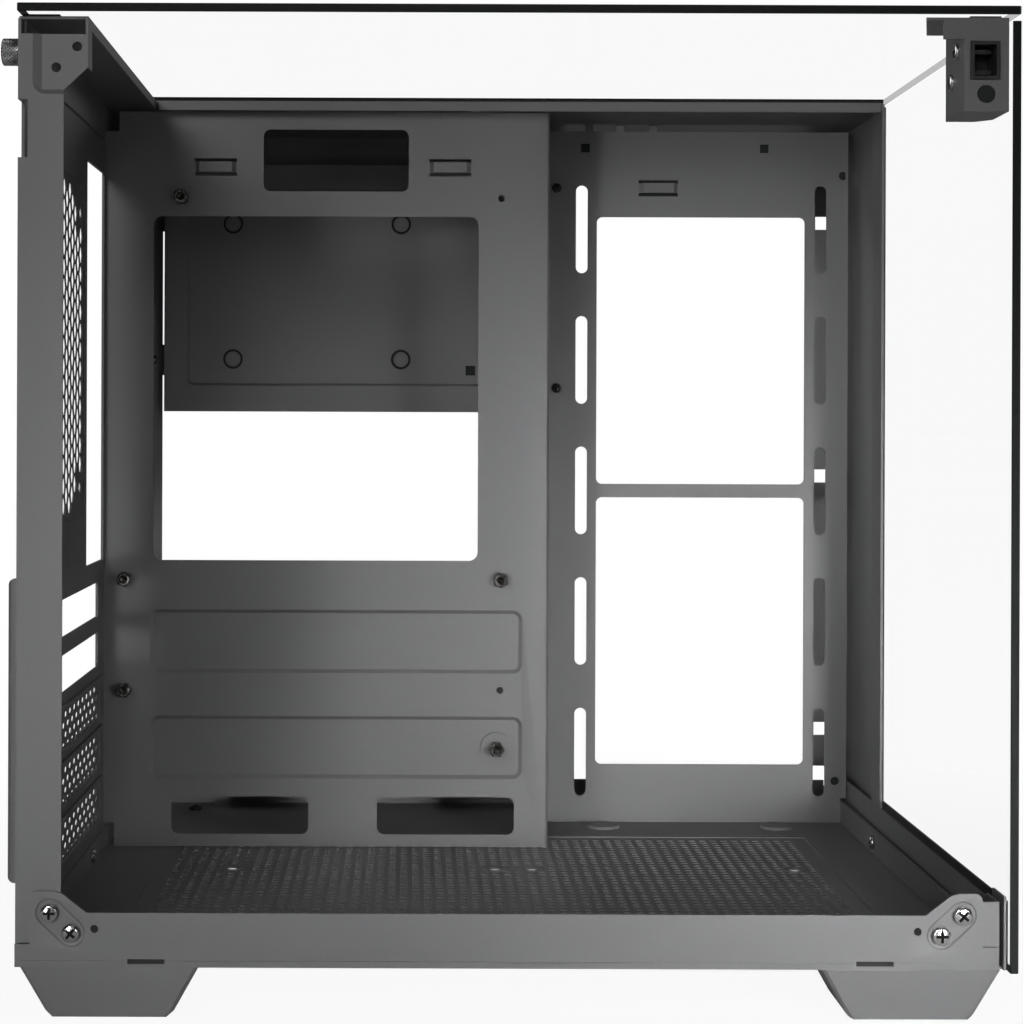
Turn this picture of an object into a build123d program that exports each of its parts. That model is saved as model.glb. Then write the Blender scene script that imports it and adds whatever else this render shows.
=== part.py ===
from build123d import *
import math
import os

# A compact two-chamber computer case, seen from its open side.
# X runs from the back to the front glass, Y from the open side to the far side, Z up.
# The origin is the centre of the whole outline, on the surface that the feet stand on.

# Driving sizes, in millimetres
FOOT_HEIGHT = 17.3         # standing surface to the floor pan
BOARD_RISE = 269.0         # floor pan to the top row of board holes
HEAD_ROOM = 39.1           # top row of board holes to the deck under the top glass
TRAY_LENGTH = 184.5        # back panel to the front edge of the board tray
BAY_MARGIN = 29.9          # side fan panel, wider than the screw spacing of its fans
MAIN_CHAMBER = 189.0       # near face of the frame to the board tray
SECOND_CHAMBER = 100.0     # board tray to the far rails
FAN_STEP = 56.0            # board tray to the side fan panel
DRIVE_STEP = 90.0          # board tray to the drive plate
SHEET = 1.0                # folded steel sheet
BEND = 0.9                 # radius of a fold, at the middle of the sheet
GLASS = 2.8                # toughened glass
TAPE = 0.8                 # foam tape between glass and steel
GLASS_LEDGE = 1.5          # near glass edges stand in front of the frame
PANEL_GAP = 1.3            # side fan panel to the seat of the front glass
SHELF_REACH = 14.6         # slot screw cover, behind the back panel
CLEAR = 0.1                # gap round a shank in its hole

# Floor pan and its near and far rails
HEM_WIDTH = 2.8            # folded strip between the pan and the front glass
RAIL_HEIGHT = 17.6
FAR_RAIL_HEIGHT = 12.3
SILL_HEIGHT = 10.6
PAN_BACK_LIP = 9.0
EAR_INSET = 4.8            # ear's outer edge, from the end of the rail
EAR_TOP = 9.4              # width of the ear's flat top
EAR_RISE = 7.0             # ear above the rail
EAR_SLOPE = 9.0            # length of the ear's sloping side
END_NOTCH = 7.4            # height of the rail outside the ear
EAR_SCREWS = ((11.3, 17.6), (18.2, 11.1))
EAR_HOLE = (25.8, 12.4)
EAR_HOLE_R = 1.3
EAR_GRIP = 5.0
TAB_SLOT = (12.1, 1.6)     # hooks of the side panel go in here
TAB_SLOT_INSET = (42.5, 39.6)
TAB_SLOT_RISE = 0.9
CORNER_RELIEF = 2.0
PAN_SCREW_RISE = 4.8
PAN_SCREWS_Y = (50.0, 151.0)     # from the near rail
SILL_SCREW_RISE = 5.5
SILL_SCREW_LEAD = 10.0

# Perforated field in the floor, with two 120 mm fan places
FIELD_BACK = 30.0
FIELD_FRONT = 26.7
FIELD_NEAR = 29.0
FIELD_FAR = 20.0           # past the near face of the board tray
FLOOR_PITCH = 15.4         # coarser than the real one, which is 4.4
FLOOR_HOLE = 8.2
FAN_PITCH = 105.0          # screw spacing of a 120 mm fan
FAN_SIZE = 120.0
FAN_SCREW_R = 2.25
FLOOR_FANS_X = 168.5       # between the two fans, from the back panel
FLOOR_FANS_Y = 93.0        # before the board tray
DIMPLE_R = 5.0
BOSS_R = 7.0
BOSS_HEIGHT = 1.2
BOSSES_X = (27.0, 102.4)   # in front of the board tray
BOSSES_Y = 44.0

# Back panel
POST_WIDTH = 14.8          # near flange, the back post
POST_FOOT = 22.0           # wider behind the rail's ear
FAR_POST_WIDTH = 13.0
POST_LIFT = 7.6            # flange ends this far above the pan's underside
POST_TOP = 6.0             # flange ends this far below the deck
HEAD_EAR_WIDTH = 22.5      # ear at the head of the back post
HEAD_EAR_STEP = 7.5        # its recessed land starts here
HEAD_EAR_DROP = 10.7
HEAD_EAR_BASE = 18.0
HEAD_EAR_HOLES = ((19.0, 4.0), (12.2, 10.8))
HEAD_EAR_HOLE_R = 1.6
HOOK_NOTCH = (3.2, 18.8)
HOOK_NOTCH_DROP = 36.7
IO_WIDTH = 44.45           # opening for the board's rear connectors
IO_HEIGHT = 158.75
IO_ABOVE_BOARD = 9.45
IO_FROM_TRAY = 4.0
REAR_FAN_LEAD = 116.0      # fan centre before the board tray
REAR_FAN_DROP = 65.3       # fan centre below the top row of board holes
GRILLE_WIDTH = 118.0
GRILLE_HEIGHT = 126.0
GRILLE_CORNER = 20.0
GRILLE_PITCH = 12.2        # coarser than the real one, which is 7.3
GRILLE_HOLE = 10.0         # across the flats of each six-sided hole
SLOT_COUNT = 5
SLOT_PITCH = 20.32
SLOT_HEIGHT = 13.9
SLOT_BELOW_BOARD = 157.6   # top row of board holes to the top of the first slot
SLOT_LEAD = 18.0           # far end of the slots, before the board tray
SLOT_LENGTH = 96.0
SHELF_WIDTH = 11.6
SHELF_HOLE_R = 1.4
SHELF_MARGIN = 2.0
TAB_SLIT = 1.3
SUPPLY_HEIGHT = 150.0      # rear face of the power supply, stood on its side
SUPPLY_OPENING = 64.0
SUPPLY_FRAME = 11.0        # steel left above and below the opening
SUPPLY_HOLES = ((37.0, -6.0), (37.0, 6.0), (-27.0, -6.0), (-37.0, 30.0))  # from its foot, or its head
SUPPLY_HOLE_R = 2.0
SUPPLY_RISE = 2.0
THUMB_LEAD = 11.0          # thumbscrew, from the near face of the frame
THUMB_DROP = 10.4

# Board tray, for a micro-ATX board
TRAY_BACK = 1.0            # its back edge, from the outside of the back panel
TRAY_DROP = 3.6            # its upper edge, below the deck
TRAY_LIP = 12.0
TRAY_FLANGE = 14.5
TRAY_FLANGE_MARGIN = 6.0
TRAY_TABS = (32.35, 155.95)
TRAY_TAB = 10.3
TRAY_RIVETS = (32.0, 25.0, 16.0)  # above the floor, above the middle, below the upper edge
HEAD_NOTCH = (5.6, 8.1)
FOOT_NOTCH = (4.3, 9.7)
BOARD_BACK = 9.6           # back column of board holes, from the back panel
BOARD_WIDTH = 154.94
BOARD_STEP = 22.86
BOARD_DROP = 157.48
BOARD_LOW_DROP = 203.2
BOARD_HOLE_R = 1.4
STANDOFF_HEIGHT = 6.5
STANDOFF_FLATS = 5.5
SPARE_STANDOFF = 163.1
SPARE_BOSS_R = 6.4
SPARE_BOSS_RISE = 0.5
CUTOUT_X = (20.9, 155.2)
CUTOUT_BELOW_BOARD = 7.6
CUTOUT_HEIGHT = 142.2
CUTOUT_R = 3.7
TOP_SLOT_X = (66.2, 126.2)
TOP_SLOT_MARGIN = 7.2
TOP_SLOT_SILL = 10.4
LOW_SLOTS_X = ((28.9, 85.6), (113.9, 170.5))
LOW_SLOT_RISE = 5.1
LOW_SLOT_HEIGHT = 15.5
CABLE_SLOT_R = 3.0
PRESSING_X = (19.8, 173.8)
PRESSING_MARGINS = (6.9, 12.7, 10.9, 7.5)
PRESSING_DEPTH = 1.2
PRESSING_SLOPE = 1.5
PRESSING_R = 2.5
BRIDGES_X = (46.5, 143.4)
BRIDGE_ABOVE_BOARD = 12.7
BRIDGE_WIDTH = 17.4
BRIDGE_HEIGHT = 7.2
BRIDGE_STRAP = 4.2
BRIDGE_RISE = 1.6
BRIDGE_RAMP = 2.2

# Side fan panel, measured from the tray's front edge
PANEL_DROP = 3.5
PANEL_EDGE = 10.0
PANEL_BACK_GAP = 0.6       # clear of the tray's fold
FAN_WINDOW_X = (24.4, 115.9)
FAN_WINDOW_HEIGHT = 117.4
FAN_WINDOW_BAR = 5.9
FAN_WINDOW_R = 2.6
FAN_MIDDLE_RISE = 146.7
FAN_SLOT_COLUMN = 17.8
FAN_SLOT = (38.6, 5.2)
FAN_SLOT_STEP = 57.45
FAN_SLOT_COUNT = 5
SQUARE_HOLE = 3.9
PANEL_SQUARES_X = (19.3, 98.0)
PANEL_SQUARES_DROP = 7.2
PANEL_ROUND_TOP = (132.7, 19.1)
PANEL_ROUND_LOW = (129.9, 19.2)
PANEL_ROUND_R = 1.9
PANEL_RELIEF = 3.0         # notch in the front fold, beside the upper round hole
PANEL_BRIDGE = (51.4, 24.8)
PANEL_SCREW_X = 6.7
PANEL_SCREWS_DROP = (25.0, 112.9)
PANEL_TABS = (20.8, 34.5, 49.0)
PANEL_TAB = 3.5

# Drive plate
DRIVE_BACK = 14.7          # from the back panel
DRIVE_PAST_TRAY = 12.5
DRIVE_FOOT = 11.0
DRIVE_DROP = 14.4
DRIVE_HEIGHT = 112.6
DRIVE_LIP = 7.0
DRIVE_EARS_RISE = (23.6, 89.6)
DRIVE_EAR = 14.0
DRIVE_LAND_MARGINS = (10.4, 17.0, 11.9, 11.0)
DRIVE_HOLES = (76.6, 61.72)
DRIVE_CENTRE = (69.6, 54.8)
DRIVE_HOLE_R = 1.7
DRIVE_CUP_R = 4.5
DRIVE_SQUARE = (139.7, 19.0)

# Front post, deck and covers round the second chamber
POST_SEAT = 9.3            # post's near edge, before the board tray
GLASS_LAP = 17.0           # far margin of each pane on its steel seat
POST_FAR_WIDTH = 14.3
POST_HOLE_STEP = 116.2
POST_HOLES_RISE = 152.4
POST_HOLE = 6.0
DECK_LIP = 3.0
FAR_LIP = 20.0             # deck folded down behind the drive plate
DECK_LEAD = 7.0            # deck's near edge, before the board tray
TOP_RAIL_WIDTH = 22.5
TOP_RAIL_LIP = 3.6
TOP_RAIL_LEG = 16.0
TOP_RAIL_RETURN = 8.0      # its inner edge is deeper here, and carries the end plate
TOP_RAIL_RIVETS = (40.0, 25.0)  # from the near face of the frame, and before the board tray
HEM_OUTER = 19.1           # height of the strip behind the glass
HEM_INNER = 10.2
HEM_SHEET = 0.8
HEM_END = 12.0
HEM_END_HEIGHT = 23.7
HEM_PLATE = 21.9
GLASS_FOOT = 0.8           # front glass below the pan's underside
GLASS_JOINT = 1.8          # between the top glass and the front glass
GLASS_CHAMFER = 0.3
TAPE_WIDTH = 12.0
FRONT_TAPE_TOP = 22.2

# Corner bracket and its catch
BRACKET_WIDTH = 14.5       # box part
BRACKET_LOW = 30.4         # its underside, below the deck
BRACKET_LAND = 7.0         # upper flange, below the deck
BRACKET_WING = 6.7
BRACKET_PLATE = 26.9
BRACKET_DEPTH = 24.0
BRACKET_REACH = 27.0
BRACKET_CUT = 5.0
WINDOW = (9.6, 12.5)
WINDOW_INSET = (6.8, 6.8)
PIN_HOLE = (7.2, 24.7)
PIN_HOLE_R = 2.9
CATCH_WALL = 1.1
CATCH_DEPTH = 12.0
CATCH_RIM = 0.6
JAW = (6.0, 1.5, 7.5)
JAW_GAP = 5.2
BRACKET_SCREWS = ((9.0, 9.6), (15.5, 18.7))

# Feet
FOOT_LENGTH = 58.0
FOOT_WIDTH = 34.0
FOOT_TAPER = 9.2
FOOT_SIDE_TAPER = 1.8
FOOT_INSET = 1.5
FOOT_CORNER = 1.2
FOOT_WALL = 2.4
FOOT_BASE = 3.0
FOOT_POST_R = 4.0
FOOT_SCREW = 9.0
PAD_LENGTH = 30.0
PAD_WIDTH = 16.0
PAD_THICK = 1.8
PAD_PROUD = 0.8

# Fasteners
SCREW_R = 1.4
SCREW_HEAD_R = 3.05
SCREW_HEAD = 1.8
BRACKET_SCREW_HEAD = 1.2
THUMB_R = 4.5
THUMB_LENGTH = 7.0
RIVET_R = 1.6
RIVET_HEAD_R = 3.1
RIVET_HEAD = 0.9

# Slot covers and the cover over their screws
COVER_COUNT = 3            # fitted in the lowest slots
COVER_WIDTH = 18.4
COVER_TAB = 13.0
COVER_FAR = 8.0
COVER_COLUMNS = 8
COVER_ROWS = 2
COVER_HOLE = 3.2
SCREW_COVER_WALL = 11.0    # near wall, before the shelf
SCREW_COVER_LEG = 12.0
SCREW_COVER_MARGIN = 9.5
SCREW_COVER_R = 2.7
SCREW_COVER_RIVET = 30.0

# Planes and places worked out from the sizes above
FAN_BAY = FAN_PITCH + BAY_MARGIN
BODY_LENGTH = TRAY_LENGTH + FAN_BAY + PANEL_GAP + TAPE + GLASS
X_BACK = SHELF_REACH - (BODY_LENGTH + SHELF_REACH) / 2
X_FRONT = X_BACK + BODY_LENGTH
X_GLASS = X_FRONT - GLASS
X_SEAT = X_GLASS - TAPE
X_SILL = X_SEAT - HEM_WIDTH
X_STEP = X_BACK + TRAY_LENGTH
RAIL_LENGTH = X_SILL - X_BACK
CASE_DEPTH = GLASS_LEDGE + MAIN_CHAMBER + SECOND_CHAMBER
Y_EDGE = -CASE_DEPTH / 2
Y_FAR = CASE_DEPTH / 2
Y_RAIL = Y_EDGE + GLASS_LEDGE
Y_POST = Y_RAIL + SHEET
Y_TRAY = Y_RAIL + MAIN_CHAMBER
Y_FAN = Y_TRAY + FAN_STEP
Y_DRIVE = Y_TRAY + DRIVE_STEP
Y_SEAT = Y_TRAY - POST_SEAT
Y_PANE = Y_SEAT + GLASS_LAP
Y_DECK = Y_TRAY - DECK_LEAD
Y_SHELF = Y_TRAY - SLOT_LEAD - SLOT_LENGTH - SHEET
Y_REAR_FAN = Y_TRAY - REAR_FAN_LEAD
Y_SUPPLY = (Y_TRAY + Y_FAR - SHEET) / 2
Z_PAN = FOOT_HEIGHT
Z_FLOOR = Z_PAN + SHEET
Z_BOARD = Z_PAN + BOARD_RISE
Z_DECK = Z_BOARD + HEAD_ROOM
Z_GLASS = Z_DECK + TAPE
CASE_HEIGHT = Z_GLASS + GLASS
Z_TRAY = Z_DECK - TRAY_DROP
Z_PANEL = Z_DECK - PANEL_DROP
Z_REAR_FAN = Z_BOARD - REAR_FAN_DROP
Z_SUPPLY = Z_FLOOR + SUPPLY_RISE + SUPPLY_HEIGHT / 2
Z_FAN_MIDDLE = Z_PAN + FAN_MIDDLE_RISE
Z_DRIVE_TOP = Z_DECK - DRIVE_DROP
Z_DRIVE_LOW = Z_DRIVE_TOP - DRIVE_HEIGHT
Z_LOW_SLOT = Z_FLOOR + LOW_SLOT_RISE
X_SHELF_HOLE = X_BACK - SHELF_WIDTH / 2
X_BRACKET = X_SEAT - BRACKET_WIDTH
SEATED = (Align.CENTER, Align.CENTER, Align.MIN)
HUNG = (Align.CENTER, Align.CENTER, Align.MAX)


def block(x0, x1, y0, y1, z0, z1):
    """A plain block between two opposite corners."""
    centre = ((x0 + x1) / 2, (y0 + y1) / 2, (z0 + z1) / 2)
    return Pos(*centre) * Box(abs(x1 - x0), abs(y1 - y0), abs(z1 - z0))


def across(sketch, y, thick=SHEET):
    """A wall square to Y, drawn in X and Z, with its near face at y."""
    return extrude(Plane((0, y, 0), x_dir=(1, 0, 0), z_dir=(0, -1, 0)) * sketch, amount=-thick)


def upright(sketch, x, thick=SHEET):
    """A wall square to X, drawn in Y and Z, with its back face at x."""
    return extrude(Plane((x, 0, 0), x_dir=(0, 1, 0), z_dir=(1, 0, 0)) * sketch, amount=thick)


def level(sketch, z, thick=SHEET):
    """A wall square to Z, drawn in X and Y, with its underside at z."""
    return extrude(Pos(0, 0, z) * sketch, amount=thick)


def folded(points, thick=SHEET):
    """The section of folded sheet, from the line along the middle of the sheet."""
    return trace(FilletPolyline(*points, radius=BEND), thick)


def area(u0, u1, v0, v1, radius=0.0):
    """A rectangle between two corners, with rounded corners if asked."""
    place = Pos((u0 + u1) / 2, (v0 + v1) / 2)
    if radius > 0:
        return place * RectangleRounded(abs(u1 - u0), abs(v1 - v0), radius)
    return place * Rectangle(abs(u1 - u0), abs(v1 - v0))


def outline(*points):
    """A closed flat shape through the given corners."""
    return make_face(Polyline(*points, close=True))


def discs(places, radius):
    """A round hole at each place."""
    return [Pos(u, v) * Circle(radius) for u, v in places]


def pierced(plate, holes):
    """The plate with many separate holes, none of which meets its edge or another."""
    face = plate.face()
    inner = [wire for wire in face.inner_wires()] + [hole.wire() for hole in holes]
    return Sketch() + Face(face.outer_wire(), inner)


def staggered(width, height, pitch, across_flats, corner=0.0):
    """Six-sided holes in staggered rows about the origin, in a field with cut corners."""
    radius = across_flats / math.sqrt(3)
    column_step = pitch * math.sqrt(3) / 2
    columns = int((width / 2 - radius) / column_step)
    rows = int(height / pitch) + 1
    holes = []
    for i in range(-columns, columns + 1):
        u = i * column_step
        for j in range(-rows, rows + 1):
            v = (j + (i % 2) / 2) * pitch
            inside = abs(v) + radius <= height / 2
            in_corner = abs(u) + abs(v) + radius > (width + height) / 2 - corner
            if inside and not in_corner:
                holes.append(Pos(u, v) * RegularPolygon(radius, 6))
    return holes


def clear_of(holes, places, reach):
    """The holes that stay away from every one of some places."""
    kept = []
    for hole in holes:
        at = hole.center()
        if all(math.dist((at.X, at.Y), place) > reach for place in places):
            kept.append(hole)
    return kept


def fan_holes(u, v):
    """The four screw places of a 120 mm fan."""
    half = FAN_PITCH / 2
    return [(u + i * half, v + j * half) for i in (-1, 1) for j in (-1, 1)]


def pressing(box, y, depth, slope, thick=SHEET):
    """A shallow tray pressed into a wall square to Y: what it cuts, and what it adds behind."""
    u0, u1, v0, v1 = box
    plane = Plane(((u0 + u1) / 2, 0, (v0 + v1) / 2), x_dir=(1, 0, 0), z_dir=(0, 1, 0))
    mouth = RectangleRounded(u1 - u0, v1 - v0, PRESSING_R + slope)
    bottom = RectangleRounded(u1 - u0 - 2 * slope, v1 - v0 - 2 * slope, PRESSING_R)
    hollow = loft([plane.offset(y) * mouth, plane.offset(y + depth) * bottom])
    shell = loft([plane.offset(y + thick) * mouth, plane.offset(y + thick + depth) * bottom])
    return hollow, shell


def bridge(x, z, y):
    """A strap lanced out of a wall for a cable tie, and the window that it spans."""
    half, top, front = BRIDGE_WIDTH / 2, BRIDGE_WIDTH / 2 - BRIDGE_RAMP, y - BRIDGE_RISE
    middle = SHEET / 2
    path = [
        (x - half, y + middle), (x - half + middle, y + middle), (x - top, front + middle),
        (x + top, front + middle), (x + half - middle, y + middle), (x + half, y + middle),
    ]
    strap = level(trace(Polyline(*path), SHEET), z - BRIDGE_STRAP / 2, BRIDGE_STRAP)
    hole = area(x - half, x + half, z - BRIDGE_HEIGHT / 2, z + BRIDGE_HEIGHT / 2)
    return hole, strap


def screw(place, direction, grip, head_r=SCREW_HEAD_R, head=SCREW_HEAD, shank_r=SCREW_R):
    """A pan-head screw or rivet: its head seats at place, its shank runs along direction."""
    cap = Cylinder(head_r, head, align=HUNG)
    return Plane(place, z_dir=direction) * (cap + Cylinder(shank_r, grip, align=SEATED))


def ear_screw_places(back):
    """The two screws through one ear of the near rail, in X and Z."""
    return [(X_BACK + x if back else X_SILL - x, Z_PAN + z) for x, z in EAR_SCREWS]


def pan_screw_places():
    """The screws through the pan's back lip, in Y and Z."""
    return [(Y_RAIL + y, Z_PAN + PAN_SCREW_RISE) for y in PAN_SCREWS_Y]


def sill_screw_place():
    """The screw through the pan's sill, in Y and Z."""
    return (Y_TRAY - SILL_SCREW_LEAD, Z_PAN + SILL_SCREW_RISE)


def head_ear_places():
    """The two screw holes in the ear at the head of the back post, in X and Z."""
    return [(X_BACK + x, Z_DECK - POST_TOP - z) for x, z in HEAD_EAR_HOLES]


def thumb_place():
    """The thumbscrew, in Y and Z."""
    return (Y_RAIL + THUMB_LEAD, Z_DECK - THUMB_DROP)


def slot_tops():
    """The upper edge of each expansion slot."""
    return [Z_BOARD - SLOT_BELOW_BOARD - i * SLOT_PITCH for i in range(SLOT_COUNT)]


def slot_middles():
    """The middle height of each expansion slot."""
    return [top - SLOT_HEIGHT / 2 for top in slot_tops()]


def covered_slots():
    """The numbers of the slots that have a cover, counted from the top."""
    return range(SLOT_COUNT - COVER_COUNT + 1, SLOT_COUNT + 1)


def supply_places():
    """The power supply's screw holes, in Y and Z."""
    foot, head = Z_SUPPLY - SUPPLY_HEIGHT / 2, Z_SUPPLY + SUPPLY_HEIGHT / 2
    return [(Y_SUPPLY + y, (foot if z > 0 else head) + z) for y, z in SUPPLY_HOLES]


def tray_rivet_places():
    """The rivets between the tray and the back panel, in Y and Z."""
    y, middle = Y_TRAY + TRAY_LIP / 2 + SHEET, (Z_FLOOR + Z_TRAY) / 2
    low, shift, high = TRAY_RIVETS
    return [(y, Z_FLOOR + low), (y, middle + shift), (y, Z_TRAY - high)]


def top_rail_rivet_places():
    """The rivets between the back top rail and the back panel, in Y and Z."""
    z = Z_DECK - TOP_RAIL_LEG / 2 - SHEET
    return [(Y_RAIL + TOP_RAIL_RIVETS[0], z), (Y_TRAY - TOP_RAIL_RIVETS[1], z)]


def screw_cover_places():
    """The rivets that hold the cover over the slot screws, in Y and Z."""
    y = Y_SHELF - SCREW_COVER_WALL - SCREW_COVER_LEG / 2
    middle = sum(slot_middles()) / SLOT_COUNT
    return [(y, middle - SCREW_COVER_RIVET), (y, middle + SCREW_COVER_RIVET)]


def panel_screw_places():
    """The screws through the fan panel, the tray's flange and the drive plate's foot."""
    return [(X_STEP + PANEL_SCREW_X, Z_PANEL - drop) for drop in PANEL_SCREWS_DROP]


def board_places():
    """Screw places of a micro-ATX board, in X and Z; the first four hold standoffs."""
    back = X_BACK + BOARD_BACK
    front = back + BOARD_WIDTH
    middle, low = Z_BOARD - BOARD_DROP, Z_BOARD - BOARD_LOW_DROP
    fitted = [(back + BOARD_STEP, Z_BOARD), (back, middle), (front, middle), (back, low)]
    return fitted + [(front, Z_BOARD), (front, low)]


def pressing_boxes():
    """The two pressed panels in the tray, between the board's lower rows of holes."""
    over_low, under_middle, under_low, over_slot = PRESSING_MARGINS
    middle, low = Z_BOARD - BOARD_DROP, Z_BOARD - BOARD_LOW_DROP
    x0, x1 = X_BACK + PRESSING_X[0], X_BACK + PRESSING_X[1]
    slot_top = Z_LOW_SLOT + LOW_SLOT_HEIGHT
    return [
        (x0, x1, low + over_low, middle - under_middle),
        (x0, x1, slot_top + over_slot, low - under_low),
    ]


def spare_place():
    """The spare standoff, in the middle of the lower pressed panel."""
    z0, z1 = pressing_boxes()[1][2:]
    return (X_BACK + SPARE_STANDOFF, (z0 + z1) / 2)


def drive_places():
    """The four screw places of a small drive, in X and Z."""
    x, z = X_BACK + DRIVE_BACK + DRIVE_CENTRE[0], Z_DRIVE_LOW + DRIVE_CENTRE[1]
    half_x, half_z = DRIVE_HOLES[0] / 2, DRIVE_HOLES[1] / 2
    return [(x + i * half_x, z + j * half_z) for i in (-1, 1) for j in (-1, 1)]


def drive_ear_places():
    """The screws through the drive plate's ears, in X and Z."""
    x = X_BACK + (FAR_POST_WIDTH + 2 * SHEET) / 2
    return [(x, Z_DRIVE_LOW + rise) for rise in DRIVE_EARS_RISE]


def bracket_screw_places():
    """The screws in the side of the corner bracket, in Y and Z."""
    return [(Y_RAIL + y, Z_DECK - z) for y, z in BRACKET_SCREWS]


def foot_places():
    """The middle of each foot, in X and Y."""
    near, far = Y_RAIL + FOOT_WIDTH / 2, Y_FAR - SHEET - FOOT_WIDTH / 2
    back = X_BACK + FOOT_INSET + FOOT_LENGTH / 2
    front = X_SEAT - FOOT_INSET - FOOT_LENGTH / 2
    return {
        "back_near": (back, near), "back_far": (back, far),
        "front_near": (front, near), "front_far": (front, far),
    }


def near_rail():
    """The rail along the open side, with an ear at each end."""
    ear = [
        (0, 0), (0, END_NOTCH), (EAR_INSET, END_NOTCH), (EAR_INSET, RAIL_HEIGHT + EAR_RISE),
        (EAR_INSET + EAR_TOP, RAIL_HEIGHT + EAR_RISE),
        (EAR_INSET + EAR_TOP + EAR_SLOPE, RAIL_HEIGHT),
    ]
    other = [(RAIL_LENGTH - x, z) for x, z in reversed(ear)]
    holes = discs(ear_screw_places(True) + ear_screw_places(False), SCREW_R + CLEAR)
    holes += discs(
        [(X_BACK + EAR_HOLE[0], Z_PAN + EAR_HOLE[1]), (X_SILL - EAR_HOLE[0], Z_PAN + EAR_HOLE[1])],
        EAR_HOLE_R,
    )
    slot_z = Z_FLOOR + TAB_SLOT_RISE
    for x in (X_BACK + TAB_SLOT_INSET[0], X_SILL - TAB_SLOT_INSET[1]):
        holes.append(Pos(x, slot_z) * Rectangle(*TAB_SLOT))
    return across(pierced(Pos(X_BACK, Z_PAN) * outline(*ear, *other), holes), Y_RAIL)


def floor_pan():
    """Floor of both chambers, with a rail folded up along each long side."""
    field_x = (X_BACK + FIELD_BACK, X_SILL - FIELD_FRONT)
    field_y = (Y_RAIL + FIELD_NEAR, Y_TRAY + FIELD_FAR)
    centre = Pos(sum(field_x) / 2, sum(field_y) / 2)
    field = staggered(
        field_x[1] - field_x[0], field_y[1] - field_y[0], FLOOR_PITCH, FLOOR_HOLE
    )
    fans = []
    for side in (-1, 1):
        x = X_BACK + FLOOR_FANS_X + side * FAN_SIZE / 2
        fans += fan_holes(x, Y_TRAY - FLOOR_FANS_Y)
    feet = list(foot_places().values())
    holes = clear_of([centre * hole for hole in field], fans + feet, DIMPLE_R + FLOOR_HOLE * 0.6)
    holes += discs(fans, FAN_SCREW_R) + discs(feet, SCREW_R + CLEAR)
    base = area(X_BACK + SHEET, X_SILL, Y_POST, Y_FAR - SHEET)
    pan = level(pierced(base, holes), Z_PAN) + near_rail()
    pan += across(area(X_BACK, X_SILL, Z_PAN, Z_PAN + FAR_RAIL_HEIGHT), Y_FAR - SHEET)

    near, far = Y_POST + 2 * CORNER_RELIEF, Y_FAR - SHEET - 2 * CORNER_RELIEF
    sill = area(near, far, Z_PAN, Z_PAN + SILL_HEIGHT)
    lip = area(near, far, Z_PAN, Z_PAN + PAN_BACK_LIP)
    pan += upright(pierced(sill, discs([sill_screw_place()], SCREW_R + CLEAR)), X_SILL - SHEET)
    pan += upright(pierced(lip, discs(pan_screw_places(), SCREW_R + CLEAR)), X_BACK + SHEET)
    for x in BOSSES_X:
        pan += Pos(X_STEP + x, Y_TRAY + BOSSES_Y, Z_FLOOR) * Cylinder(BOSS_R, BOSS_HEIGHT, align=SEATED)
    return pan


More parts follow.
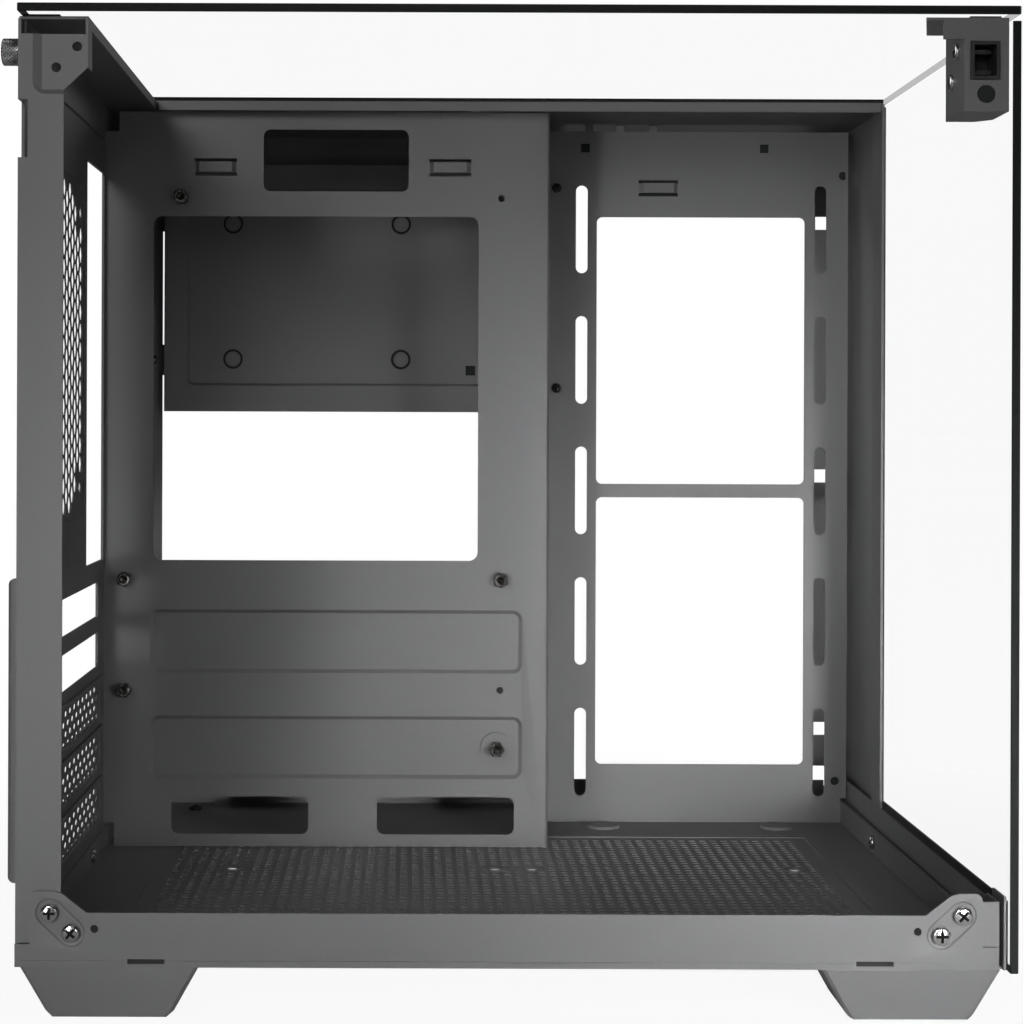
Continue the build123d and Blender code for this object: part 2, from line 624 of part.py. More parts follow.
def back_panel():
    """Back wall, with the post that it folds into on each side and the slot shelf."""
    wall = area(Y_POST, Y_FAR - SHEET, Z_PAN, Z_DECK - SHEET)
    io_far, io_top = Y_TRAY - IO_FROM_TRAY, Z_BOARD + IO_ABOVE_BOARD
    holes = [area(io_far - IO_WIDTH, io_far, io_top - IO_HEIGHT, io_top)]
    holes.append(Pos(Y_SUPPLY, Z_SUPPLY) * Rectangle(SUPPLY_OPENING, SUPPLY_HEIGHT - 2 * SUPPLY_FRAME))
    for top in slot_tops():
        low = top - SLOT_HEIGHT
        holes.append(area(Y_SHELF + SHEET, Y_TRAY - SLOT_LEAD, low, top))
        holes.append(area(Y_SHELF - TAB_SLIT, Y_SHELF, low, top))
    grille = staggered(GRILLE_WIDTH, GRILLE_HEIGHT, GRILLE_PITCH, GRILLE_HOLE, GRILLE_CORNER)
    corners = fan_holes(Y_REAR_FAN, Z_REAR_FAN)
    grille = [Pos(Y_REAR_FAN, Z_REAR_FAN) * hole for hole in grille]
    holes += clear_of(grille, corners, FAN_SCREW_R + GRILLE_HOLE * 0.6 + SHEET)
    holes += discs(corners, FAN_SCREW_R)
    holes += discs(supply_places(), SUPPLY_HOLE_R)
    holes += discs([thumb_place()] + pan_screw_places(), SCREW_R + CLEAR)
    riveted = tray_rivet_places() + top_rail_rivet_places() + screw_cover_places()
    holes += discs(riveted, RIVET_R + CLEAR)
    panel = upright(pierced(wall, holes), X_BACK)

    low, top = Z_PAN + POST_LIFT, Z_DECK - POST_TOP
    land_x, ear_low = X_BACK + HEAD_EAR_STEP, top - HEAD_EAR_BASE
    land = outline(
        (land_x, top), (X_BACK + HEAD_EAR_WIDTH, top),
        (X_BACK + HEAD_EAR_WIDTH, top - HEAD_EAR_DROP),
        (X_BACK + POST_WIDTH, ear_low), (land_x, ear_low),
    )
    land = pierced(land, discs(head_ear_places(), HEAD_EAR_HOLE_R))
    post = area(X_BACK, X_BACK + POST_WIDTH, low, ear_low) + area(X_BACK, land_x, ear_low, top)
    post += area(X_BACK, X_BACK + POST_FOOT, low, Z_PAN + RAIL_HEIGHT - SHEET)
    post -= discs(ear_screw_places(True), SCREW_R + CLEAR)
    step = area(land_x - SHEET, land_x, ear_low - SHEET, top)
    step += area(land_x - SHEET, X_BACK + POST_WIDTH, ear_low - SHEET, ear_low)
    panel += across(post, Y_POST) + across(land, Y_POST + SHEET) + across(step, Y_POST, 2 * SHEET)
    far_post = area(X_BACK, X_BACK + FAR_POST_WIDTH, low, Z_DECK - SHEET)
    far_post -= discs(drive_ear_places(), SCREW_R + CLEAR)
    panel += across(far_post, Y_FAR - 2 * SHEET)

    shelf = area(
        X_BACK - SHELF_WIDTH, X_BACK + SHEET,
        slot_tops()[-1] - SLOT_HEIGHT - SHELF_MARGIN, slot_tops()[0] + SHELF_MARGIN,
    )
    shelf = pierced(shelf, discs([(X_SHELF_HOLE, z) for z in slot_middles()], SHELF_HOLE_R))
    panel += across(shelf, Y_SHELF)
    depth, height = HOOK_NOTCH
    notch_z = Z_DECK - HOOK_NOTCH_DROP
    return panel - block(
        X_BACK, X_BACK + depth, Y_RAIL, Y_POST + 2 * depth, notch_z - height / 2, notch_z + height / 2
    )


def slot_cover(number):
    """A perforated blank over one expansion slot, folded over the shelf."""
    middle = slot_middles()[number - 1]
    half, half_tab = COVER_WIDTH / 2, COVER_TAB / 2
    far, neck, near = Y_TRAY - SLOT_LEAD + COVER_FAR, Y_SHELF + 2 * SHEET, Y_SHELF - SHEET
    plate = outline(
        (far, middle - half), (far, middle + half), (neck, middle + half), (neck, middle + half_tab),
        (near, middle + half_tab), (near, middle - half_tab), (neck, middle - half_tab),
        (neck, middle - half),
    )
    step_y = (SLOT_LENGTH - 2 * COVER_HOLE) / COVER_COLUMNS
    step_z = SLOT_HEIGHT / (COVER_ROWS + 0.5)
    first = Y_TRAY - SLOT_LEAD - COVER_HOLE - step_y / 2
    holes = []
    for i in range(COVER_COLUMNS):
        for j in range(COVER_ROWS):
            z = middle + (j + (i % 2) / 2 + 0.25 - COVER_ROWS / 2) * step_z
            holes.append(Pos(first - i * step_y, z) * Rectangle(COVER_HOLE, COVER_HOLE))
    tab = area(X_BACK - SHELF_WIDTH + SHEET, X_BACK + 2 * SHEET, middle - half_tab, middle + half_tab)
    tab = pierced(tab, discs([(X_SHELF_HOLE, middle)], SCREW_R + CLEAR))
    return upright(pierced(plate, holes), X_BACK + SHEET) + across(tab, near)


def slot_screw_cover():
    """The folded cover over the slot screws, behind the back panel."""
    near, outer, half = Y_SHELF - SCREW_COVER_WALL, X_BACK - SHELF_REACH, SHEET / 2
    low = slot_tops()[-1] - SLOT_HEIGHT - SHELF_MARGIN - SHEET
    high = slot_tops()[0] + SCREW_COVER_MARGIN
    section = folded([
        (X_BACK - half, near - SCREW_COVER_LEG), (X_BACK - half, near + half),
        (outer + half, near + half), (outer + half, Y_SHELF + 3 * SHEET),
    ])
    cover = level(section, low, high - low)
    past = X_BACK + SCREW_COVER_R
    cover &= across(area(outer, past, low, high, SCREW_COVER_R), near - SCREW_COVER_LEG, CASE_DEPTH)
    return cover - upright(Sketch() + discs(screw_cover_places(), RIVET_R + CLEAR), X_BACK - SHEET)


def motherboard_tray():
    """Wall between the chambers, folded back along its front edge."""
    back = X_BACK + TRAY_BACK
    bend_x = X_STEP - 2 * SHEET
    wall = area(back, bend_x, Z_FLOOR, Z_TRAY)
    wall -= area(back, back + HEAD_NOTCH[0], Z_TRAY - HEAD_NOTCH[1], Z_TRAY)
    wall -= area(back, back + FOOT_NOTCH[0], Z_FLOOR, Z_FLOOR + FOOT_NOTCH[1])
    for x in TRAY_TABS:
        wall += area(X_BACK + x - TRAY_TAB / 2, X_BACK + x + TRAY_TAB / 2, Z_TRAY, Z_DECK - SHEET)
    cutout_top = Z_BOARD - CUTOUT_BELOW_BOARD
    windows = [(CUTOUT_X, cutout_top - CUTOUT_HEIGHT, cutout_top, CUTOUT_R)]
    windows.append((TOP_SLOT_X, cutout_top + TOP_SLOT_SILL, Z_TRAY - TOP_SLOT_MARGIN, CABLE_SLOT_R))
    for span in LOW_SLOTS_X:
        windows.append((span, Z_LOW_SLOT, Z_LOW_SLOT + LOW_SLOT_HEIGHT, CABLE_SLOT_R))
    holes = [area(X_BACK + x0, X_BACK + x1, z0, z1, r) for (x0, x1), z0, z1, r in windows]
    holes += discs(board_places(), BOARD_HOLE_R)
    straps = []
    for x in BRIDGES_X:
        hole, strap = bridge(X_BACK + x, Z_BOARD + BRIDGE_ABOVE_BOARD, Y_TRAY)
        holes.append(hole)
        straps.append(strap)
    tray = across(pierced(wall, holes), Y_TRAY) + straps
    for box in pressing_boxes():
        hollow, shell = pressing(box, Y_TRAY, PRESSING_DEPTH, PRESSING_SLOPE)
        tray = tray + shell - hollow
    spare = Pos(*spare_place())
    tray += across(
        spare * Circle(SPARE_BOSS_R), Y_TRAY - SPARE_BOSS_RISE, SPARE_BOSS_RISE + PRESSING_DEPTH + SHEET
    )
    tray -= across(spare * Circle(BOARD_HOLE_R), Y_TRAY - SHEET, SHEET + PRESSING_DEPTH + 2 * SHEET)

    half, flange_y = SHEET / 2, Y_FAN + SHEET
    section = folded([
        (bend_x, Y_TRAY + half), (X_STEP - half, Y_TRAY + half),
        (X_STEP - half, flange_y + half), (X_STEP + TRAY_FLANGE, flange_y + half),
    ])
    edge = level(section, Z_FLOOR, Z_TRAY - Z_FLOOR)
    for low, high in ((Z_FLOOR, Z_FLOOR + TRAY_FLANGE_MARGIN), (Z_TRAY - TRAY_FLANGE_MARGIN, Z_TRAY)):
        edge -= block(X_STEP, X_STEP + TRAY_FLANGE, Y_FAN, flange_y + SHEET, low, high)
    edge -= across(Sketch() + discs(panel_screw_places(), SCREW_R + CLEAR), flange_y)
    foot = block(
        back + FOOT_NOTCH[0] + SHEET, bend_x, Y_TRAY, Y_TRAY + TRAY_LIP, Z_FLOOR, Z_FLOOR + SHEET
    )
    lip = area(
        Y_TRAY, Y_TRAY + TRAY_LIP, Z_FLOOR + FOOT_NOTCH[1] + SHEET, Z_TRAY - HEAD_NOTCH[1] - SHEET
    )
    lip = pierced(lip, discs(tray_rivet_places(), RIVET_R + CLEAR))
    return tray + edge + foot + upright(lip, back)


def side_fan_panel():
    """Stepped-back wall in front of the tray, for two side fans."""
    front = X_SEAT - PANEL_GAP
    wall = area(X_STEP + PANEL_BACK_GAP, front, Z_FLOOR, Z_PANEL)
    for x in PANEL_TABS:
        wall += area(X_STEP + x - PANEL_TAB / 2, X_STEP + x + PANEL_TAB / 2, Z_PANEL, Z_DECK - SHEET)
    x0, x1 = X_STEP + FAN_WINDOW_X[0], X_STEP + FAN_WINDOW_X[1]
    bar = FAN_WINDOW_BAR / 2
    holes = [
        area(x0, x1, Z_FAN_MIDDLE + bar, Z_FAN_MIDDLE + bar + FAN_WINDOW_HEIGHT, FAN_WINDOW_R),
        area(x0, x1, Z_FAN_MIDDLE - bar - FAN_WINDOW_HEIGHT, Z_FAN_MIDDLE - bar, FAN_WINDOW_R),
    ]
    for x in (X_STEP + FAN_SLOT_COLUMN, X_STEP + FAN_SLOT_COLUMN + FAN_PITCH):
        for i in range(FAN_SLOT_COUNT):
            z = Z_FAN_MIDDLE + (i - (FAN_SLOT_COUNT - 1) / 2) * FAN_SLOT_STEP
            holes.append(Pos(x, z) * Rot(0, 0, 90) * SlotOverall(*FAN_SLOT))
    rounds = [
        (X_STEP + PANEL_ROUND_TOP[0], Z_PANEL - PANEL_ROUND_TOP[1]),
        (X_STEP + PANEL_ROUND_LOW[0], Z_PAN + PANEL_ROUND_LOW[1]),
    ]
    holes += discs(rounds, PANEL_ROUND_R) + discs(panel_screw_places(), SCREW_R + CLEAR)
    for x in PANEL_SQUARES_X:
        holes.append(Pos(X_STEP + x, Z_PANEL - PANEL_SQUARES_DROP) * Rectangle(SQUARE_HOLE, SQUARE_HOLE))
    hole, strap = bridge(X_STEP + PANEL_BRIDGE[0], Z_PANEL - PANEL_BRIDGE[1], Y_FAN)
    holes.append(hole)
    panel = across(pierced(wall, holes), Y_FAN) + strap
    panel += block(front - SHEET, front, Y_FAN, Y_FAN + PANEL_EDGE, Z_FLOOR, Z_PANEL)
    top, low = rounds[0][1] + PANEL_RELIEF, rounds[0][1] - PANEL_RELIEF
    panel -= block(front - SHEET, front, Y_FAN + SHEET, Y_FAN + PANEL_EDGE, low, top)
    back, sill = X_STEP + TRAY_FLANGE + SHEET, X_SILL - SHEET
    panel += block(back, sill, Y_FAN, Y_FAN + PANEL_EDGE, Z_FLOOR, Z_FLOOR + SHEET)
    return panel - block(sill, front, Y_FAN, Y_FAN + PANEL_EDGE, Z_FLOOR, Z_PAN + SILL_HEIGHT + SHEET)


def drive_plate():
    """Plate in the second chamber that carries the small drives."""
    back, front = X_BACK + DRIVE_BACK, X_STEP + DRIVE_PAST_TRAY
    plate = across(area(back, front, Z_DRIVE_LOW, Z_DRIVE_TOP), Y_DRIVE)
    from_back, from_front, from_low, from_top = DRIVE_LAND_MARGINS
    land = (back + from_back, front - from_front, Z_DRIVE_LOW + from_low, Z_DRIVE_TOP - from_top)
    hollow, shell = pressing(land, Y_DRIVE, SHEET, SHEET)
    plate = plate + shell - hollow
    land_y, cup = Y_DRIVE + SHEET, SHEET / 2
    plate += across(Sketch() + discs(drive_places(), DRIVE_CUP_R), land_y + cup)
    plate -= across(Sketch() + discs(drive_places(), DRIVE_CUP_R - SHEET), land_y, cup)
    square = (back + DRIVE_SQUARE[0], Z_DRIVE_LOW + DRIVE_SQUARE[1])
    through = Sketch() + discs(drive_places(), DRIVE_HOLE_R)
    through += Pos(*square) * Rectangle(SQUARE_HOLE, SQUARE_HOLE)
    plate -= across(through, Y_DRIVE, 4 * SHEET)
    for low in (Z_DRIVE_LOW, Z_DRIVE_TOP - SHEET):
        plate += block(back, front, Y_DRIVE, Y_DRIVE + DRIVE_LIP, low, low + SHEET)

    ear_y, foot_y = Y_FAR - 3 * SHEET, Y_FAN + 2 * SHEET
    plate += block(back, back + SHEET, Y_DRIVE, ear_y + SHEET, Z_DRIVE_LOW, Z_DRIVE_TOP)
    for x, z in drive_ear_places():
        ear = area(X_BACK + 2 * SHEET, back + SHEET, z - DRIVE_EAR / 2, z + DRIVE_EAR / 2)
        plate += across(ear - Pos(x, z) * Circle(SCREW_R + CLEAR), ear_y)
    plate += block(front - SHEET, front, foot_y, Y_DRIVE + SHEET, Z_DRIVE_LOW, Z_DRIVE_TOP)
    foot = area(front - DRIVE_FOOT, front, Z_DRIVE_LOW, Z_DRIVE_TOP)
    foot -= discs(panel_screw_places(), SCREW_R + CLEAR)
    return plate + across(foot, foot_y)


def front_post():
    """Folded front wall of the second chamber, with the seat for the front glass."""
    half, top, step_y = SHEET / 2, Z_DECK - SHEET, Y_PANE + CLEAR
    seat_low = Z_PAN + HEM_OUTER
    section = folded([
        (X_SEAT - half, Y_SEAT), (X_SEAT - half, step_y + half), (X_FRONT - half, step_y + half),
        (X_FRONT - half, Y_FAR - SHEET - half), (X_FRONT - POST_FAR_WIDTH, Y_FAR - SHEET - half),
    ])
    post = level(section, Z_PAN, top - Z_PAN)
    post -= block(X_SILL - POST_FAR_WIDTH, X_SEAT, Y_SEAT, Y_FAR, Z_PAN, seat_low)
    post += block(X_SEAT, X_FRONT - half, step_y, Y_FAR - 2 * SHEET, Z_PAN, Z_FLOOR)
    holes = []
    for i in (-1, 0, 1):
        place = Pos(X_FRONT - POST_FAR_WIDTH + POST_HOLE, Z_PAN + POST_HOLES_RISE + i * POST_HOLE_STEP)
        holes.append(place * Rectangle(POST_HOLE, POST_HOLE))
    return post - across(Sketch() + holes, Y_FAR - 2 * SHEET)


def front_glass_rail():
    """Hemmed strip along the foot of the front glass, with an end plate behind the ear."""
    near, far = Y_POST + SHEET, Y_FAR - SHEET - CORNER_RELIEF
    outer, inner = X_SEAT - HEM_SHEET, X_SILL + HEM_SHEET
    rail = block(outer, X_SEAT, near, far, Z_PAN, Z_PAN + HEM_OUTER)
    rail += block(X_SILL, inner, near, far, Z_PAN, Z_PAN + HEM_INNER)
    rail += block(X_SILL, X_SEAT, near, far, Z_PAN, Z_PAN + HEM_SHEET)
    rail += block(outer, X_SEAT, Y_RAIL, near + HEM_END, Z_PAN, Z_PAN + HEM_END_HEIGHT)
    rail += block(X_SILL, inner, Y_POST, near + HEM_END, Z_PAN, Z_PAN + HEM_PLATE)
    plate = area(
        X_SILL - EAR_INSET - EAR_TOP - EAR_SLOPE, inner, Z_PAN + END_NOTCH, Z_PAN + HEM_PLATE
    )
    rail += across(pierced(plate, discs(ear_screw_places(False), SCREW_R + CLEAR)), Y_POST)
    return rail - upright(Sketch() + discs([sill_screw_place()], SCREW_R + CLEAR), X_SILL, HEM_SHEET)


def back_top_rail():
    """Rail under the back edge of the top glass, fixed to the back panel."""
    near, inner = Y_POST + 2 * SHEET, X_BACK + TOP_RAIL_WIDTH
    rail = block(X_BACK, inner, near, Y_DECK, Z_DECK - SHEET, Z_DECK)
    rail += block(inner - SHEET, inner, near, Y_DECK, Z_DECK - TOP_RAIL_LIP, Z_DECK)
    leg = area(Y_POST + 4 * SHEET, Y_DECK, Z_DECK - TOP_RAIL_LEG, Z_DECK)
    leg = pierced(leg, discs(top_rail_rivet_places() + [thumb_place()], RIVET_R + CLEAR))
    top = Z_DECK - POST_TOP
    low = top - HEAD_EAR_DROP
    end = area(X_BACK + HEAD_EAR_STEP, inner, low, top) - discs(head_ear_places(), HEAD_EAR_HOLE_R)
    rail += upright(leg, X_BACK + SHEET) + across(end, near)
    return rail + block(inner - SHEET, inner, near, near + TOP_RAIL_RETURN, low, Z_DECK)


def top_deck():
    """Top of the second chamber, with a lip under the glass's far edge and one behind the drives."""
    plate = block(X_BACK, X_SEAT, Y_DECK, Y_FAR - SHEET, Z_DECK - SHEET, Z_DECK)
    plate += block(X_SEAT, X_FRONT, Y_PANE + CLEAR, Y_FAR - SHEET, Z_DECK - SHEET, Z_DECK)
    plate += block(
        X_BACK + FAR_POST_WIDTH + SHEET, X_STEP + DRIVE_PAST_TRAY, Y_FAR - 2 * SHEET, Y_FAR - SHEET,
        Z_DECK - FAR_LIP, Z_DECK,
    )
    lip_back = X_BACK + TOP_RAIL_WIDTH + SHEET
    return plate + block(
        lip_back, X_SEAT - SHEET, Y_DECK, Y_DECK + SHEET, Z_DECK - DECK_LIP - SHEET, Z_DECK
    )


def chamber_top_cover():
    """Shallow steel lid on the second chamber, flush with the glass."""
    near = Y_PANE + CLEAR
    lid = block(X_BACK, X_FRONT, near, Y_FAR, Z_DECK, CASE_HEIGHT)
    lid = fillet(lid.edges().filter_by(Axis.Z), 2 * SHEET)
    return lid - block(
        X_BACK + SHEET, X_FRONT - SHEET, near + SHEET, Y_FAR - SHEET, Z_DECK, CASE_HEIGHT - SHEET
    )


def top_glass():
    """Top pane, clear from the back rail to the front."""
    pane = block(X_BACK, X_FRONT, Y_EDGE, Y_PANE, Z_GLASS, CASE_HEIGHT)
    return chamfer(pane.edges(), GLASS_CHAMFER)


def front_glass():
    """Front pane, under the top pane."""
    pane = block(X_GLASS, X_FRONT, Y_EDGE, Y_PANE, Z_PAN - GLASS_FOOT, Z_GLASS - GLASS_JOINT)
    return chamfer(pane.edges(), GLASS_CHAMFER)


def top_glass_tape():
    """Foam tape on the back rail, the deck and the corner bracket."""
    far, inset = Y_PANE - SHEET, X_BACK + SHEET
    tape = block(inset, inset + TAPE_WIDTH, Y_RAIL + 4 * SHEET, far, Z_DECK, Z_GLASS)
    tape += block(inset, X_SEAT - SHEET, Y_DECK + SHEET, far, Z_DECK, Z_GLASS)
    pad = block(
        X_SEAT - TAPE_WIDTH, X_SEAT - 2 * SHEET, Y_RAIL + 2 * SHEET, Y_RAIL + BRACKET_DEPTH,
        Z_DECK, Z_GLASS,
    )
    return [tape, pad]


def front_glass_tape():
    """Foam tape on the strip and the post behind the front glass."""
    far, low = Y_PANE - SHEET, Z_PAN + SHEET
    foot = block(X_SEAT, X_GLASS, Y_POST, far, low, Z_PAN + FRONT_TAPE_TOP)
    return foot + block(X_SEAT, X_GLASS, Y_SEAT + SHEET, far, low, Z_DECK - 2 * SHEET)


def corner_bracket():
    """Folded box that joins the two panes and holds the side panel's catch."""
    low, land, under = Z_DECK - BRACKET_LOW, Z_DECK - BRACKET_LAND, Z_DECK - SHEET
    near, far, cut = Y_RAIL, Y_RAIL + BRACKET_DEPTH, BRACKET_CUT
    face = area(X_BRACKET, X_SEAT, low, land) + area(X_BRACKET - BRACKET_WING, X_SEAT, land, Z_DECK)
    holes = [Pos(X_BRACKET + WINDOW_INSET[0], land - WINDOW_INSET[1]) * Rectangle(*WINDOW)]
    holes += discs([(X_BRACKET + PIN_HOLE[0], Z_DECK - PIN_HOLE[1])], PIN_HOLE_R)
    side = pierced(area(near, far, low, under), discs(bracket_screw_places(), SCREW_R + CLEAR))
    base = outline(
        (X_BRACKET, near), (X_SEAT, near), (X_SEAT, far - cut), (X_SEAT - cut, far), (X_BRACKET, far)
    )
    back = X_SEAT - BRACKET_PLATE
    plate = outline(
        (back, near), (X_SEAT, near), (X_SEAT, near + BRACKET_REACH),
        (back + BRACKET_WING, near + BRACKET_REACH),
    )
    box = across(pierced(face, holes), near) + upright(side, X_BRACKET) + level(base, low)
    box += upright(area(near, far - cut, low, under), X_SEAT - SHEET)
    return box + level(plate, under)


def panel_catch():
    """Moulded catch in the bracket's window, with two sprung jaws."""
    x, z = X_BRACKET + WINDOW_INSET[0], Z_DECK - BRACKET_LAND - WINDOW_INSET[1]
    width, height = WINDOW[0] - 2 * CLEAR, WINDOW[1] - 2 * CLEAR
    body = Pos(x, z) * Rectangle(width, height)
    bore = Pos(x, z) * Rectangle(width - 2 * CATCH_WALL, height - 2 * CATCH_WALL)
    front = Y_RAIL - CATCH_RIM
    root = front + CATCH_DEPTH
    catch = across(body - bore, front, CATCH_DEPTH) + across(body, root, CATCH_WALL)
    wide, thick, reach = JAW
    for side in (-1, 1):
        middle = z + side * (JAW_GAP + thick) / 2
        catch += across(Pos(x, middle) * RectangleRounded(wide, thick, thick * 0.4), root - reach, reach)
    return catch


def tapered(length, width, taper, side_taper, low):
    """A block that narrows from the pan down to a height."""
    top = Pos(0, 0, Z_PAN) * Rectangle(length, width)
    return loft([Pos(0, 0, low) * Rectangle(length - 2 * taper, width - 2 * side_taper), top], ruled=True)


def foot(x, y):
    """Moulded foot, hollow from above, with a post for its screw and a pocket for its pad."""
    inside = PAD_PROUD + FOOT_BASE
    body = tapered(FOOT_LENGTH, FOOT_WIDTH, FOOT_TAPER, FOOT_SIDE_TAPER, PAD_PROUD)
    rims = body.edges().group_by(Axis.Z)[-1] + body.edges().group_by(Axis.Z)[0]
    body = chamfer([edge for edge in body.edges() if edge not in rims], FOOT_CORNER)
    hollow = tapered(
        FOOT_LENGTH - 2 * FOOT_WALL, FOOT_WIDTH - 2 * FOOT_WALL,
        FOOT_TAPER - FOOT_BASE, FOOT_SIDE_TAPER - FOOT_BASE / 2, inside,
    )
    post = Pos(0, 0, inside) * Cylinder(FOOT_POST_R, Z_PAN - inside, align=SEATED)
    pocket = level(Rectangle(PAD_LENGTH, PAD_WIDTH), PAD_PROUD, PAD_THICK - PAD_PROUD)
    bore = Pos(0, 0, Z_PAN) * Cylinder(SCREW_R + CLEAR, FOOT_SCREW, align=HUNG)
    return Pos(x, y) * (body - hollow + post - pocket - bore)


def foot_pad(x, y):
    """Soft pad in the foot's pocket."""
    return Pos(x, y) * level(Rectangle(PAD_LENGTH, PAD_WIDTH), 0, PAD_THICK)


def standoffs():
    """Threaded six-sided standoffs for the board, one of them on its own boss."""
    seats = [(place, Y_TRAY) for place in board_places()[:4]]
    seats.append((spare_place(), Y_TRAY - SPARE_BOSS_RISE))
    body = RegularPolygon(STANDOFF_FLATS / math.sqrt(3), 6) - Circle(BOARD_HOLE_R)
    return [
        across(Pos(*place) * body, seat - STANDOFF_HEIGHT, STANDOFF_HEIGHT) for place, seat in seats
    ]


def thumbscrew():
    """Thumbscrew at the head of the back panel."""
    y, z = thumb_place()
    head = Cylinder(THUMB_R, THUMB_LENGTH, align=HUNG)
    head = chamfer(head.edges().filter_by(GeomType.CIRCLE), SHEET / 2)
    shank = Cylinder(SCREW_R, 4 * SHEET, align=SEATED)
    return Plane((X_BACK, y, z), z_dir=(1, 0, 0)) * (head + shank)


def back_rivets(places, x):
    """Blind rivets set from behind, in the plane x."""
    return [
        screw((x, y, z), (1, 0, 0), 2 * SHEET, RIVET_HEAD_R, RIVET_HEAD, RIVET_R) for y, z in places
    ]


def screws_along_y(places, y, grip):
    """Screws with their heads on the near side of a wall square to Y."""
    return [screw((x, y, z), (0, 1, 0), grip) for x, z in places]


def fasteners():
    """Every group of like fasteners, by name."""
    drives = drive_ear_places()
    covers = [(X_SHELF_HOLE, slot_middles()[number - 1]) for number in covered_slots()]
    pan = [screw((X_BACK + 2 * SHEET, y, z), (-1, 0, 0), 2 * SHEET) for y, z in pan_screw_places()]
    y, z = sill_screw_place()
    pan.append(screw((X_SILL - SHEET, y, z), (1, 0, 0), 2 * SHEET))
    feet = [screw((x, y, Z_FLOOR), (0, 0, -1), FOOT_SCREW) for x, y in foot_places().values()]
    bracket = [
        screw((X_BRACKET, y, z), (1, 0, 0), 2 * SHEET, head=BRACKET_SCREW_HEAD)
        for y, z in bracket_screw_places()
    ]
    rivets = back_rivets(tray_rivet_places() + top_rail_rivet_places(), X_BACK)
    return {
        "back_ear_screws": screws_along_y(ear_screw_places(True), Y_RAIL, EAR_GRIP),
        "front_ear_screws": screws_along_y(ear_screw_places(False), Y_RAIL, EAR_GRIP),
        "fan_panel_screws": screws_along_y(panel_screw_places(), Y_FAN, 3 * SHEET),
        "drive_plate_screws": screws_along_y(drives, Y_FAR - 3 * SHEET, 2 * SHEET),
        "slot_cover_screws": screws_along_y(covers, Y_SHELF - SHEET, 3 * SHEET),
        "pan_screws": pan,
        "foot_screws": feet,
        "bracket_screws": bracket,
        "rivets": rivets + back_rivets(screw_cover_places(), X_BACK - SHEET),
    }


def save(name, shape):
    """Write one piece, or a group of separate like pieces."""
    if isinstance(shape, list):
        shape = Compound(children=[piece.solid() for piece in shape])
    export_step(shape, f"parts/{name}.step")


def main():
    os.makedirs("parts", exist_ok=True)
    pieces = [
        floor_pan, back_panel, back_top_rail, motherboard_tray, side_fan_panel, drive_plate,
        front_post, front_glass_rail, top_deck, chamber_top_cover, top_glass, front_glass,
        top_glass_tape, front_glass_tape, corner_bracket, panel_catch, slot_screw_cover,
        standoffs, thumbscrew,
    ]
    for piece in pieces:
        save(piece.__name__, piece())
    for number in covered_slots():
        save(f"slot_cover_{number}", slot_cover(number))
    for name, (x, y) in foot_places().items():
        save(f"foot_{name}", foot(x, y))
        save(f"foot_pad_{name}", foot_pad(x, y))
    for name, group in fasteners().items():
        save(name, group)


main()
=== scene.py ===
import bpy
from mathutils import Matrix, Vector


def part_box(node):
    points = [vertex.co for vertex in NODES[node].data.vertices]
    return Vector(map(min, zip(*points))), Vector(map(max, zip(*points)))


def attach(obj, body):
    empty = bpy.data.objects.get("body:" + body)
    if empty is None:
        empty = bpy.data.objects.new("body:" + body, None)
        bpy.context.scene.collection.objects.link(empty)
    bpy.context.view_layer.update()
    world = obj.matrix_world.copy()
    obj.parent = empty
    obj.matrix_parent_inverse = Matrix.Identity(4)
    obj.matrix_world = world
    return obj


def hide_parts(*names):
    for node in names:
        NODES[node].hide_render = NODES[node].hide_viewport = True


bl_info = {
    "name": "Two-chamber computer case",
    "version": (1, 0, 0),
    "blender": (4, 5, 0),
    "location": "View3D > Sidebar > Case",
    "description": "Finishes the packed parts of a computer case and sets a pale studio round them",
    "category": "Object",
}

import math
from functools import partial

import bmesh
import bpy
from bpy.props import FloatProperty, FloatVectorProperty, IntProperty, PointerProperty
from mathutils import Matrix, Vector

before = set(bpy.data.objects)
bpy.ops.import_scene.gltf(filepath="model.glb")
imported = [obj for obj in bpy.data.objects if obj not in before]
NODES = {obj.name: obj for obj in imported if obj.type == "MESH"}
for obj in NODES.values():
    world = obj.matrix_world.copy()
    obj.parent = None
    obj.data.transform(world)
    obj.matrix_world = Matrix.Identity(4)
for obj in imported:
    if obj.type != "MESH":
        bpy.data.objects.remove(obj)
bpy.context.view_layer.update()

MM = 0.001
BODY = "root"
MERGE = 0.004 * MM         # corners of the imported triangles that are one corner
FLAT = math.radians(0.6)   # triangles this close to one plane are one face
SHARP = 14                 # edges sharper than this, in degrees, are kept sharp
RAIL_TO_TRAY = 189 * MM    # near face of the frame to the board tray

# Folded steel pieces that take no perforations: node and the radius of its broken edges, in millimetres
FOLDED_SHEETS = {
    "motherboard_tray": 0.22,
    "side_fan_panel": 0.22,
    "drive_plate": 0.22,
    "front_post": 0.25,
    "front_glass_rail": 0.2,
    "back_top_rail": 0.22,
    "top_deck": 0.22,
    "chamber_top_cover": 0.5,
    "corner_bracket": 0.22,
    "slot_screw_cover": 0.22,
}

FEET = ("back_near", "back_far", "front_near", "front_far")

